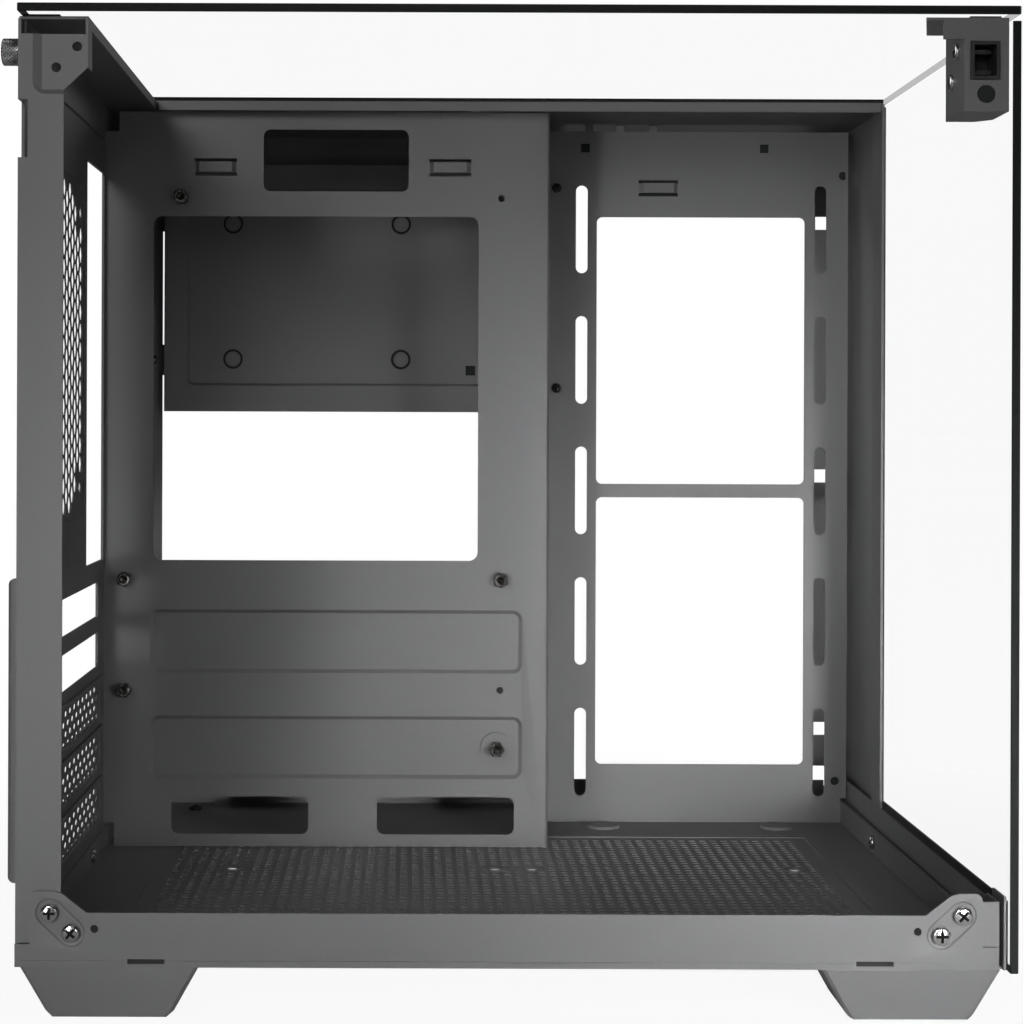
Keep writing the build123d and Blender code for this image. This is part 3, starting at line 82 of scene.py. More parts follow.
# Groups of pan-head screws: node, direction of the shank, head height in millimetres, finish, share of
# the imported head's radius
SCREW_GROUPS = (
    ("front_ear_screws", (0, 1, 0), 1.8, "bright_screws", 1.0),
    ("back_ear_screws", (0, 1, 0), 1.8, "plated_screws", 0.95),
    ("fan_panel_screws", (0, 1, 0), 1.8, "dark_screws", 0.7),
    ("drive_plate_screws", (0, 1, 0), 1.8, "dark_screws", 1.0),
    ("slot_cover_screws", (0, 1, 0), 1.8, "dark_screws", 1.0),
    ("bracket_screws", (1, 0, 0), 1.2, "bright_screws", 0.9),
    ("foot_screws", (0, 0, -1), 1.8, "dark_screws", 1.0),
    ("pan_screws", (-1, 0, 0), 1.8, "plated_screws", 0.9),
)

# Grained finishes: slot, material, light and dark colour of CaseFinish, roughness, grain and clouds per
# metre, relief, metallic
FINISHES = (
    ("steel_sheet", "powder_coat", "steel", "steel_shade", 0.46, 900, 9, 0.35),
    ("foam_tape", "foam_tape", "black", "black", 0.9, 1400, 40, 1.0),
    ("catch_plastic", "catch_plastic", "black", "black", 0.38, 1500, 30, 0.3),
    ("foot_plastic", "foot_plastic", "foot", "foot_shade", 0.5, 1300, 12, 0.5),
    ("soft_pad", "soft_pad", "black", "black", 0.8, 1600, 60, 0.8),
    ("bright_screws", "bright_zinc", "zinc", "zinc", 0.26, 2500, 300, 0.25, 1.0),
    ("plated_screws", "plated_zinc", "plated_zinc", "plated_zinc", 0.22, 2500, 300, 0.25, 1.0),
    # shade: painted shade, in the glass edge's colour, for screw recesses, the backs of small holes and the rings
    # round the drive cups
    ("shade", "shade", "glass_edge", "glass_edge", 0.9, 1500, 60, 0.2),
    ("dark_screws", "dark_zinc", "dark_zinc", "dark_zinc", 0.3, 2500, 300, 0.25, 1.0),
    ("standoff_metal", "standoff_plating", "brass", "brass", 0.28, 2500, 300, 0.2, 1.0),
    ("black_screw", "black_screw", "zinc", "dark_zinc", 0.3, 2500, 200, 0.3, 1.0),
)

# Lamps: name, watts, place, target, width and height in metres, spread in degrees
CASE_MIDDLE = (0.0, 0.0, 0.15)
LAMPS = (
    ("main", 4.6, (-0.5, -1.3, 0.75), CASE_MIDDLE, 0.4, 0.4, 180),
    ("left", 0.35, (-0.25, -0.85, 0.45), CASE_MIDDLE, 0.2, 0.15, 180),
    ("low_right", 0.27, (0.3, -0.75, 0.12), (0.13, -0.145, 0.03), 0.12, 0.12, 40),
    ("low_left", 0.08, (-0.35, -0.7, 0.1), (-0.08, -0.145, 0.06), 0.12, 0.12, 40),
    ("inside", 0.12, (-0.45, -1.0, 0.22), (0.17, 0.1, 0.19), 0.12, 0.12, 20),
    ("front", 0.1, (-0.03, -0.9, 0.3), CASE_MIDDLE, 0.2, 0.1, 180),
    ("right", 0.9, (0.7, -1.1, 0.3), CASE_MIDDLE, 0.3, 0.3, 180),
    ("behind_right", 3.0, (1.0, 1.2, 0.7), CASE_MIDDLE, 0.5, 0.5, 180),
    ("behind_left", 3.0, (-1.1, 1.0, 0.7), CASE_MIDDLE, 0.5, 0.5, 180),
    ("above", 2.0, (0.3, -0.1, 1.4), CASE_MIDDLE, 0.6, 0.6, 180),
)

# Turning a pattern drawn in its own X and Y into the walls of the case
ON_FLOOR = Matrix(((0, 1, 0), (1, 0, 0), (0, 0, -1)))
ON_BACK = Matrix(((0, 0, 1), (1, 0, 0), (0, 1, 0)))
ACROSS_COVER = Matrix(((0, 0, -1), (0, 1, 0), (1, 0, 0)))


def mm(*values):
    """A vector, or a pair, given in millimetres and kept in metres."""
    return Vector([value * MM for value in values])


def size(name, default, description):
    """A length setting, given in millimetres and kept in metres."""
    return FloatProperty(name=name, description=description, default=default * MM, unit="LENGTH", precision=5)


def colour(name, default, description):
    """A colour setting."""
    return FloatVectorProperty(
        name=name, description=description, default=default, subtype="COLOR", size=3, min=0, max=1
    )


class CaseFinish(bpy.types.PropertyGroup):
    """Colours of the case's pieces."""

    steel: colour("Steel", (0.118, 0.118, 0.119), "Powder coat of the folded sheets")
    steel_shade: colour("Steel, darker", (0.098, 0.098, 0.1), "Darker tone in the powder coat")
    foot: colour("Feet", (0.125, 0.125, 0.126), "Moulded feet")
    foot_shade: colour("Feet, darker", (0.105, 0.105, 0.107), "Darker tone in the feet")
    zinc: colour("Bright screws", (0.62, 0.62, 0.61), "Zinc of the bright screws")
    plated_zinc: colour("Plated screws", (0.36, 0.36, 0.36), "Plating of the screws in the back ear")
    dark_zinc: colour("Dark screws", (0.05, 0.05, 0.052), "Plating of the dark screws")
    brass: colour("Standoffs", (0.11, 0.105, 0.1), "Plating of the standoffs")
    black: colour("Black", (0.012, 0.012, 0.013), "Thumbscrew, tape, pads and catch")
    glass: colour("Glass", (0.02, 0.022, 0.022), "Body of the panes")
    joint: colour("Glass joint", (0.06, 0.06, 0.06), "Edge where the panes meet")
    # Also the colour of the shade material, which is painted shade
    glass_edge: colour("Glass edge", (0.006, 0.007, 0.007), "Ground edge of the panes, and painted shade")


class CaseDetail(bpy.types.PropertyGroup):
    """Sizes of the small forms."""

    floor_pitch: size("Floor pitch", 4.47, "Between holes in one row of the floor")
    floor_hole: size("Floor hole", 3.1, "Diameter of a hole in the floor")
    grille_pitch: size("Grille pitch", 7.3, "Between holes in one column of the back grille")
    grille_hole: size("Grille hole", 6.0, "Across the flats of a hole in the back grille")
    cover_pitch: size("Slot cover pitch", 9.8, "Between holes along a slot cover")
    cover_hole: size("Slot cover hole", 2.7, "Width of a hole in a slot cover")
    fan_screw: size("Fan screw hole", 4.5, "Diameter of the screw holes of a fan")
    knurls: IntProperty(name="Knurls", description="Ridges round the thumbscrew", default=26, min=8)


class CaseStudio(bpy.types.PropertyGroup):
    """Camera, lamps and floor."""

    camera_place: FloatVectorProperty(
        name="Camera", description="Where the camera stands", default=(-0.02655, -0.82275, 0.1943),
        subtype="XYZ", unit="LENGTH", size=3,
    )
    lens: FloatProperty(name="Lens", description="Focal length, in millimetres", default=73.83, min=10)
    roll: FloatProperty(
        name="Roll", description="The photograph's slight turn", default=math.radians(-0.2), subtype="ANGLE"
    )
    lamps: FloatProperty(name="Lamps", description="Share of the power of every lamp", default=1.0, min=0)
    sky: FloatProperty(name="Sky", description="Even light from all round", default=0.01)
    floor: colour("Floor", (0.8, 0.8, 0.8), "Pale floor")


SOCKETS = {float: "NodeSocketFloat", int: "NodeSocketInt"}


# ---- node trees -----------------------------------------------------------------------------


def fill_inputs(tree, node, values):
    """Give a node's inputs by name or number: a socket is linked, anything else is set."""
    for key, value in values.items():
        socket = node.inputs[key]
        if isinstance(value, bpy.types.NodeSocket):
            tree.links.new(value, socket)
        else:
            socket.default_value = value


def add_node(tree, kind, values=None, **settings):
    """Add a node, set its options, and give its inputs."""
    node = tree.nodes.new(kind)
    for key, value in settings.items():
        setattr(node, key, value)
    fill_inputs(tree, node, values or {})
    return node


def calc(tree, operation, *values):
    """A math node's result."""
    kind = "ShaderNodeMath"
    node = add_node(tree, kind, {i: value for i, value in enumerate(values)}, operation=operation)
    return node.outputs[0]


def spread(tree, value, start, stop, low=0.0, high=1.0):
    """A value brought from one range to another."""
    values = {"Value": value, "From Min": start, "From Max": stop, "To Min": low, "To Max": high}
    return add_node(tree, "ShaderNodeMapRange", values).outputs["Result"]


def noise(tree, place, scale, detail, roughness=0.5):
    """Noise between 0 and 1."""
    values = {"Vector": place, "Scale": scale, "Detail": detail, "Roughness": roughness}
    return add_node(tree, "ShaderNodeTexNoise", values).outputs["Fac"]


def joined(tree, *parts):
    """Geometries joined into one."""
    join = add_node(tree, "GeometryNodeJoinGeometry")
    for part in parts:
        tree.links.new(part, join.inputs[0])
    return join.outputs[0]


def new_group(name, kind, inputs, outputs):
    """A node tree with inputs by default value or socket type, outputs by type, and its two end nodes."""
    tree = bpy.data.node_groups.new(name, kind)
    for label, given in inputs.items():
        socket_type = SOCKETS.get(type(given), given)
        socket = tree.interface.new_socket(label, in_out="INPUT", socket_type=socket_type)
        if socket_type != given:
            socket.default_value = given
    for label, socket_type in outputs.items():
        tree.interface.new_socket(label, in_out="OUTPUT", socket_type=socket_type)
    return tree, tree.nodes.new("NodeGroupInput").outputs, tree.nodes.new("NodeGroupOutput")


# ---- materials ------------------------------------------------------------------------------


def coat_grain_group():
    """Powder coat: a fine orange peel, specks finer still, and slow clouds of tone."""
    tree, given, end = new_group(
        "coat_grain", "ShaderNodeTree",
        {"Grain per Metre": 900.0, "Clouds per Metre": 9.0},
        {"Tone": SOCKETS[float], "Height": SOCKETS[float], "Polish": SOCKETS[float]},
    )
    plus, times = partial(calc, tree, "ADD"), partial(calc, tree, "MULTIPLY")
    place = add_node(tree, "ShaderNodeTexCoord").outputs["Object"]
    peel = noise(tree, place, given["Grain per Metre"], 2.0)
    speck = noise(tree, place, times(given["Grain per Metre"], 3.7), 1.0)
    cloud = noise(tree, place, given["Clouds per Metre"], 3.0, 0.45)
    tone = plus(times(speck, 0.45), times(cloud, 0.55))
    height = plus(times(peel, 0.7), times(speck, 0.3))
    fill_inputs(tree, end, {"Tone": tone, "Height": height, "Polish": cloud})
    return tree


def new_material(name):
    """A material with one Principled shader."""
    material = bpy.data.materials.new(name)
    material.use_nodes = True
    tree = material.node_tree
    return material, tree, tree.nodes["Principled BSDF"]


def grained(name, light, dark, rough, grain, clouds, bump, metallic=0.0):
    """A surface with fine grain in its tone, its gloss and its relief."""
    material, tree, shader = new_material(name)
    group = add_node(tree, "ShaderNodeGroup", node_tree=bpy.data.node_groups["coat_grain"])
    fill_inputs(tree, group, {"Grain per Metre": grain, "Clouds per Metre": clouds})
    tone = spread(tree, group.outputs["Tone"], 0.3, 0.7)
    paint = add_node(
        tree, "ShaderNodeMix", {"Factor": tone, "A": (*dark, 1), "B": (*light, 1)}, data_type="RGBA"
    )
    gloss = spread(tree, group.outputs["Polish"], 0.3, 0.7, rough - 0.05, rough + 0.05)
    relief = add_node(
        tree, "ShaderNodeBump",
        {"Height": group.outputs["Height"], "Strength": bump, "Distance": 0.05 * MM},
    )
    fill_inputs(tree, shader, {
        "Base Color": paint.outputs["Result"], "Roughness": gloss, "Normal": relief.outputs["Normal"],
        "Metallic": metallic,
    })
    return material


def plain_material(name, values):
    """A material with even values."""
    material, tree, shader = new_material(name)
    fill_inputs(tree, shader, values)
    return material


def glass_edge_material(finish):
    """Ground edge of a pane, nearly black, with the marks of the wheel."""
    material, tree, shader = new_material("ground_glass_edge")
    place = add_node(tree, "ShaderNodeTexCoord").outputs["Object"]
    gloss = spread(tree, noise(tree, place, 700.0, 2.0), 0.0, 1.0, 0.5, 0.7)
    fill_inputs(
        tree, shader,
        {"Base Color": (*finish.glass_edge, 1), "Roughness": gloss, "Specular IOR Level": 0.15},
    )
    return material


def make_materials(finish):
    """Every material of the case, by its slot in the record."""
    coat_grain_group()
    made = {
        slot: grained(name, getattr(finish, light), getattr(finish, dark), *values)
        for slot, name, light, dark, *values in FINISHES
    }
    made["glass"] = plain_material(
        "clear_glass", {"Base Color": (*finish.glass, 1), "Roughness": 0.02, "Alpha": 0.03}
    )
    made["glass_edge"] = glass_edge_material(finish)
    made["glass_joint"] = plain_material(
        "glass_joint", {"Base Color": (*finish.joint, 1), "Roughness": 0.5, "Alpha": 0.5}
    )
    return made


def finish_of(slot):
    """The material of a slot, made on first use."""
    names = bpy.context.scene.get("case_materials")
    if names is None:
        made = make_materials(bpy.context.scene.case_finish)
        bpy.context.scene["case_materials"] = {key: value.name for key, value in made.items()}
        names = bpy.context.scene["case_materials"]
    return bpy.data.materials[names[slot]]


# ---- meshes ---------------------------------------------------------------------------------


def in_scene(name, data):
    """A new object in the scene."""
    thing = bpy.data.objects.new(name, data)
    bpy.context.scene.collection.objects.link(thing)
    return thing


def new_piece(name, mesh, slot, nodes=()):
    """Put a mesh in the scene as a finished piece that rides on the case."""
    piece = in_scene(name, mesh)
    if not mesh.materials:
        mesh.materials.append(finish_of(slot))
    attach(piece, BODY)
    if nodes:
        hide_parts(*nodes)
    return piece


def mesh_from(bm, name):
    """A mesh data block from a bmesh, which is freed."""
    mesh = bpy.data.meshes.new(name)
    bm.to_mesh(mesh)
    bm.free()
    return mesh


def corners(node):
    """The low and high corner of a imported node's box."""
    return (Vector(corner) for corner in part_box(node))


def merged(node):
    """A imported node's mesh as a bmesh with shared corners and whole flat faces."""
    bm = bmesh.new()
    bm.from_mesh(NODES[node].data)
    bmesh.ops.remove_doubles(bm, verts=bm.verts, dist=MERGE)
    bmesh.ops.dissolve_limit(bm, angle_limit=FLAT, verts=bm.verts, edges=bm.edges)
    return bm


def block_mesh(low, high, name):
    """A plain block, used only to cut with."""
    bm = bmesh.new()
    bmesh.ops.create_cube(bm, size=1)
    middle, span = (low + high) / 2, high - low
    bmesh.ops.transform(bm, matrix=Matrix.LocRotScale(middle, None, span), verts=bm.verts)
    return mesh_from(bm, name)


def plain_copy(piece, name):
    """The evaluated mesh of an object, as plain mesh data."""
    graph = bpy.context.evaluated_depsgraph_get()
    mesh = bpy.data.meshes.new_from_object(piece.evaluated_get(graph))
    mesh.name = name
    return mesh


def scratch_object(mesh):
    """An object that is only used on the way to a mesh."""
    return in_scene(mesh.name + "_scratch", mesh)


def discard(*things):
    """Remove scratch objects and their meshes."""
    for thing in things:
        mesh = thing.data
        bpy.data.objects.remove(thing)
        bpy.data.meshes.remove(mesh)


def cut_away(mesh, cutter_mesh, name, crossing=False):
    """The mesh with a block taken out of it; crossing, where the block's own parts cross."""
    whole, cutter = scratch_object(mesh), scratch_object(cutter_mesh)
    cut = whole.modifiers.new("cut", "BOOLEAN")
    cut.operation = "DIFFERENCE"
    cut.solver = "EXACT"
    cut.use_self = crossing
    cut.object = cutter
    result = plain_copy(whole, name)
    discard(whole, cutter)
    return result


def break_edges(piece, radius):
    """Round the sharp edges of a sheet a little, as its coat does."""
    smooth(piece.data, SHARP)
    bevel = piece.modifiers.new("broken_edges", "BEVEL")
    bevel.width = radius * MM
    bevel.segments = 2
    bevel.limit_method = "ANGLE"
    bevel.angle_limit = math.radians(SHARP)
    bevel.harden_normals = True


def islands(node):
    """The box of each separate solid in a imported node, as pairs of corners."""
    bm = bmesh.new()
    bm.from_mesh(NODES[node].data)
    bmesh.ops.remove_doubles(bm, verts=bm.verts, dist=MERGE)
    left, boxes = set(bm.verts), []
    while left:
        queue, found = [left.pop()], []
        while queue:
            vert = queue.pop()
            found.append(vert.co.copy())
            near = [edge.other_vert(vert) for edge in vert.link_edges]
            fresh = [other for other in near if other in left]
            left.difference_update(fresh)
            queue.extend(fresh)
        low = Vector([min(point[i] for point in found) for i in range(3)])
        high = Vector([max(point[i] for point in found) for i in range(3)])
        boxes.append((low, high))
    bm.free()
    return sorted(boxes, key=lambda box: tuple(round(value, 5) for value in box[0]))


def lathe(profile, steps, ring=False, reach=None):
    """A closed solid, or a closed ring, turned about Z from points (radius, height), as a bmesh.

    Where reach is given, it turns radius, angle and height into the distance from the axis.
    """
    bm = bmesh.new()
    rings = []
    for radius, height in profile:
        if radius <= 0:
            rings.append([bm.verts.new((0, 0, height))])
            continue
        made = []
        for i in range(steps):
            angle = math.tau * i / steps
            far = reach(radius, angle, height) if reach else radius
            made.append(bm.verts.new((far * math.cos(angle), far * math.sin(angle), height)))
        rings.append(made)
    for lower, upper in zip(rings, rings[1:] + (rings[:1] if ring else [])):
        for i in range(steps):
            j = (i + 1) % steps
            corners = [lower[i % len(lower)], lower[j % len(lower)], upper[j % len(upper)], upper[i % len(upper)]]
            bm.faces.new(list(dict.fromkeys(corners)))
    if not ring:
        for end in (rings[0], rings[-1]):
            if len(end) > 1:
                bm.faces.new(end)
    bmesh.ops.recalc_face_normals(bm, faces=bm.faces)
    return bm


def smooth(mesh, degrees):
    """Shade a mesh smooth, but for its edges sharper than an angle."""
    mesh.polygons.foreach_set("use_smooth", [True] * len(mesh.polygons))
    mesh.set_sharp_from_angle(angle=math.radians(degrees))
    return mesh


# ---- patterns made with Geometry Nodes ------------------------------------------------------


def perforation_tree():
    """A flat plate with staggered holes. The input's corners are places for larger round holes."""
    tree, given, end = new_group(
        "perforated_plate", "GeometryNodeTree",
        {
            "Geometry": "NodeSocketGeometry", "Width": 0.1, "Height": 0.1, "Column Step": 0.01, "Pitch": 0.01,
            "Columns": 5, "Rows": 5, "Hole Radius": 0.003, "Sides": 6, "Cut Corner": 0.0, "Round Radius": 0.002,
            "Round Margin": 0.004, "Thickness": 0.001, "Edge Margin": 0.001, "Stretch": 1.0, "Stagger": 0.5,
            "Material": "NodeSocketMaterial",
        },
        {"Geometry": "NodeSocketGeometry"},
    )
    plus, minus, times, over, more = (
        partial(calc, tree, operation) for operation in ("ADD", "SUBTRACT", "MULTIPLY", "DIVIDE", "GREATER_THAN")
    )
    put = partial(add_node, tree)
    index = put("GeometryNodeInputIndex").outputs[0]
    column = calc(tree, "FLOOR", over(plus(index, 0.5), given["Rows"]))
    row = minus(index, times(column, given["Rows"]))
    odd = calc(tree, "MODULO", column, 2.0)
    half_columns = over(minus(given["Columns"], 1.0), 2.0)
    half_rows = over(minus(given["Rows"], 1.0), 2.0)
    x = times(minus(column, half_columns), given["Column Step"])
    y = times(minus(plus(row, times(odd, given["Stagger"])), half_rows), given["Pitch"])
    place = put("ShaderNodeCombineXYZ", {"X": x, "Y": y}).outputs[0]
    points = add_node(
        tree, "GeometryNodePoints",
        {"Count": times(given["Columns"], given["Rows"]), "Position": place},
    ).outputs[0]

    spot = put("ShaderNodeSeparateXYZ", {0: put("GeometryNodeInputPosition").outputs[0]})
    across, up = (calc(tree, "ABSOLUTE", spot.outputs[i]) for i in (0, 1))
    reach = plus(given["Hole Radius"], given["Edge Margin"])
    long_reach = plus(times(given["Hole Radius"], given["Stretch"]), given["Edge Margin"])
    half_width, half_height = over(given["Width"], 2.0), over(given["Height"], 2.0)
    past_side = more(plus(across, reach), half_width)
    past_top = more(plus(up, long_reach), half_height)
    diagonal = minus(plus(half_width, half_height), given["Cut Corner"])
    past_corner = more(plus(plus(across, up), reach), diagonal)
    rounds = put("GeometryNodeMeshToPoints", {"Mesh": given["Geometry"]}).outputs[0]
    near = put("GeometryNodeProximity", {0: rounds}, target_element="POINTS").outputs["Distance"]
    by_round = calc(tree, "LESS_THAN", near, given["Round Margin"])
    outside = past_side
    for other in (past_top, past_corner, by_round):
        outside = calc(tree, "MAXIMUM", outside, other)
    kept = add_node(
        tree, "GeometryNodeDeleteGeometry", {"Geometry": points, "Selection": outside}, domain="POINT"
    ).outputs[0]

    hole = add_node(
        tree, "GeometryNodeCurvePrimitiveCircle",
        {"Resolution": given["Sides"], "Radius": given["Hole Radius"]}, mode="RADIUS",
    ).outputs[0]
    round_hole = add_node(
        tree, "GeometryNodeCurvePrimitiveCircle", {"Resolution": 20, "Radius": given["Round Radius"]},
        mode="RADIUS",
    ).outputs[0]
    scale = put("ShaderNodeCombineXYZ", {"X": 1.0, "Y": given["Stretch"], "Z": 1.0}).outputs[0]
    small = add_node(
        tree, "GeometryNodeInstanceOnPoints", {"Points": kept, "Instance": hole, "Scale": scale}
    ).outputs[0]
    large = put("GeometryNodeInstanceOnPoints", {"Points": rounds, "Instance": round_hole}).outputs[0]
    rim = add_node(
        tree, "GeometryNodeCurvePrimitiveQuadrilateral", {"Width": given["Width"], "Height": given["Height"]}
    ).outputs[0]
    rims = put("GeometryNodeRealizeInstances", {0: joined(tree, small, large, rim)}).outputs[0]
    flat = put("GeometryNodeFillCurve", {"Curve": rims}, mode="TRIANGLES").outputs[0]
    raised = add_node(
        tree, "GeometryNodeExtrudeMesh",
        {"Mesh": flat, "Offset Scale": given["Thickness"], "Individual": False}, mode="FACES",
    ).outputs[0]
    under = put("GeometryNodeFlipFaces", {"Mesh": flat}).outputs[0]
    both = joined(tree, raised, under)
    closed = put("GeometryNodeMergeByDistance", {"Geometry": both, "Distance": 1e-6})
    realized = put("GeometryNodeRealizeInstances", {0: closed.outputs[0]})
    painted = add_node(
        tree, "GeometryNodeSetMaterial", {"Geometry": realized.outputs[0], "Material": given["Material"]}
    )
    tree.links.new(painted.outputs[0], end.inputs[0])
    return tree


def repeat_tree():
    """Copies of a pattern object, one at each corner of the input, turned along its direction."""
    tree, given, end = new_group(
        "repeated_fastener", "GeometryNodeTree",
        {
            "Geometry": "NodeSocketGeometry", "Pattern": "NodeSocketObject", "Turn Step": 0.7,
            "Material": "NodeSocketMaterial",
        },
        {"Geometry": "NodeSocketGeometry"},
    )
    pattern = add_node(tree, "GeometryNodeObjectInfo", {"Object": given["Pattern"]})
    points = add_node(tree, "GeometryNodeMeshToPoints", {"Mesh": given["Geometry"]}).outputs[0]
    along = add_node(
        tree, "GeometryNodeInputNamedAttribute", {"Name": "along"}, data_type="FLOAT_VECTOR"
    ).outputs["Attribute"]
    faced = add_node(tree, "FunctionNodeAlignRotationToVector", {"Vector": along}, axis="Z").outputs[0]
    index = add_node(tree, "GeometryNodeInputIndex").outputs[0]
    spin = add_node(tree, "ShaderNodeCombineXYZ", {"Z": calc(tree, "MULTIPLY", index, given["Turn Step"])})
    turned = add_node(
        tree, "FunctionNodeRotateRotation", {"Rotation": faced, "Rotate By": spin.outputs[0]},
        rotation_space="LOCAL",
    ).outputs[0]
    copies = add_node(
        tree, "GeometryNodeInstanceOnPoints",
        {"Points": points, "Instance": pattern.outputs["Geometry"], "Rotation": turned},
    ).outputs[0]
    realized = add_node(tree, "GeometryNodeRealizeInstances", {0: copies}).outputs[0]
    # Faces of the pattern's second material keep it: the painted shade in the screws' cross recesses
    kind = add_node(tree, "GeometryNodeInputMaterialIndex").outputs[0]
    outside = calc(tree, "LESS_THAN", kind, 0.5)
    painted = add_node(
        tree, "GeometryNodeSetMaterial",
        {"Geometry": realized, "Selection": outside, "Material": given["Material"]},
    )
    tree.links.new(painted.outputs[0], end.inputs[0])
    return tree


def tree_named(name, maker):
    """A node tree, made on first use."""
    return bpy.data.node_groups.get(name) or maker()


def grown(mesh, tree, values, name):
    """The plain mesh that a Geometry Nodes tree makes from a start mesh."""
    start = scratch_object(mesh)
    modifier = start.modifiers.new("grow", "NODES")
    modifier.node_group = tree
    ids = {item.name: item.identifier for item in tree.interface.items_tree if item.in_out == "INPUT"}
    for key, value in values.items():
        modifier[ids[key]] = value
    result = plain_copy(start, name)
    discard(start)
    return result


def places_mesh(name, places, directions=None):
    """A mesh that is only corners, with a direction kept at each."""
    mesh = bpy.data.meshes.new(name)
    mesh.from_pydata(places, [], [])
    if directions is not None:
        along = mesh.attributes.new("along", "FLOAT_VECTOR", "POINT")
        for item, direction in zip(along.data, directions):
            item.vector = direction
    return mesh


def perforated(name, box, axes, pattern, rounds=()):
    """A perforated plate that fills a box of the case."""
    low, high = box
    middle = (low + high) / 2
    u, v, w = (axes.col[i] for i in range(3))
    span = high - low
    width, height, thick = (abs(span.dot(axis)) for axis in (u, v, w))
    local = [(axes.transposed() @ (Vector(place) - middle)) for place in rounds]
    start = places_mesh(name + "_rounds", [(point.x, point.y, 0) for point in local])
    values = {
        "Width": width, "Height": height, "Thickness": thick,
        "Columns": int(width / pattern["Column Step"]) + 2, "Rows": int(height / pattern["Pitch"]) + 2,
        "Material": finish_of("steel_sheet"), **pattern,
    }
    mesh = grown(start, tree_named("perforated_plate", perforation_tree), values, name)
    base = middle - w * (thick / 2)
    mesh.transform(Matrix.Translation(base) @ axes.to_4x4())
    return new_piece(name, mesh, "steel_sheet")


def window(box):
    """A block that cuts a window through a sheet."""
    low, high = box
    thin = min(range(3), key=lambda i: (high - low)[i])
    margin = Vector([2 * MM if i == thin else 0 for i in range(3)])
    return block_mesh(low - margin, high + margin, "window")


def hull_mesh(points, name):
    """The tight skin round some points, used only to cut with."""
    bm = bmesh.new()
    for point in points:
        bm.verts.new(point)
    made = bmesh.ops.convex_hull(bm, input=bm.verts)
    spare = [item for item in made["geom_interior"] + made["geom_unused"] if isinstance(item, bmesh.types.BMVert)]
    bmesh.ops.delete(bm, geom=list(set(spare)), context="VERTS")
    bmesh.ops.recalc_face_normals(bm, faces=bm.faces)
    return mesh_from(bm, name)


def ring_points(place, radius, y, steps=20):
    """Points of a circle in a wall that faces the open side."""
    angles = [math.tau * i / steps for i in range(steps)]
    return [Vector((place[0] + radius * math.cos(a), y, place[1] + radius * math.sin(a))) for a in angles]


def rounded_corners(bm, spots, radius):
    """Round the edges along Y that stand at the given places (x, z)."""
    found = []
    for edge in bm.edges:
        ends = [vert.co for vert in edge.verts]
        along_y = abs(ends[0].x - ends[1].x) < 0.02 * MM and abs(ends[0].z - ends[1].z) < 0.02 * MM
        if along_y and any(math.hypot(ends[0].x - x, ends[0].z - z) < 0.1 * MM for x, z in spots):
            found.append(edge)
    if found:
        bmesh.ops.bevel(bm, geom=found, offset=radius, offset_type="OFFSET", segments=5, affect="EDGES", profile=0.5)


def cut_sheet(node, cutters, radius, spots=(), corner=0.0):
    """A copy of a packed sheet with pieces cut out of it and some corners rounded."""
    bm = merged(node)
    rounded_corners(bm, spots, corner)
    mesh = mesh_from(bm, node + "_copy")
    for cutter in cutters:
        mesh = cut_away(mesh, cutter, node + "_cut")
    mesh.name = node + "_sheet"
    piece = new_piece(node + "_sheet", mesh, "steel_sheet", [node])
    break_edges(piece, radius)
    return piece


# ---- pieces ---------------------------------------------------------------------------------


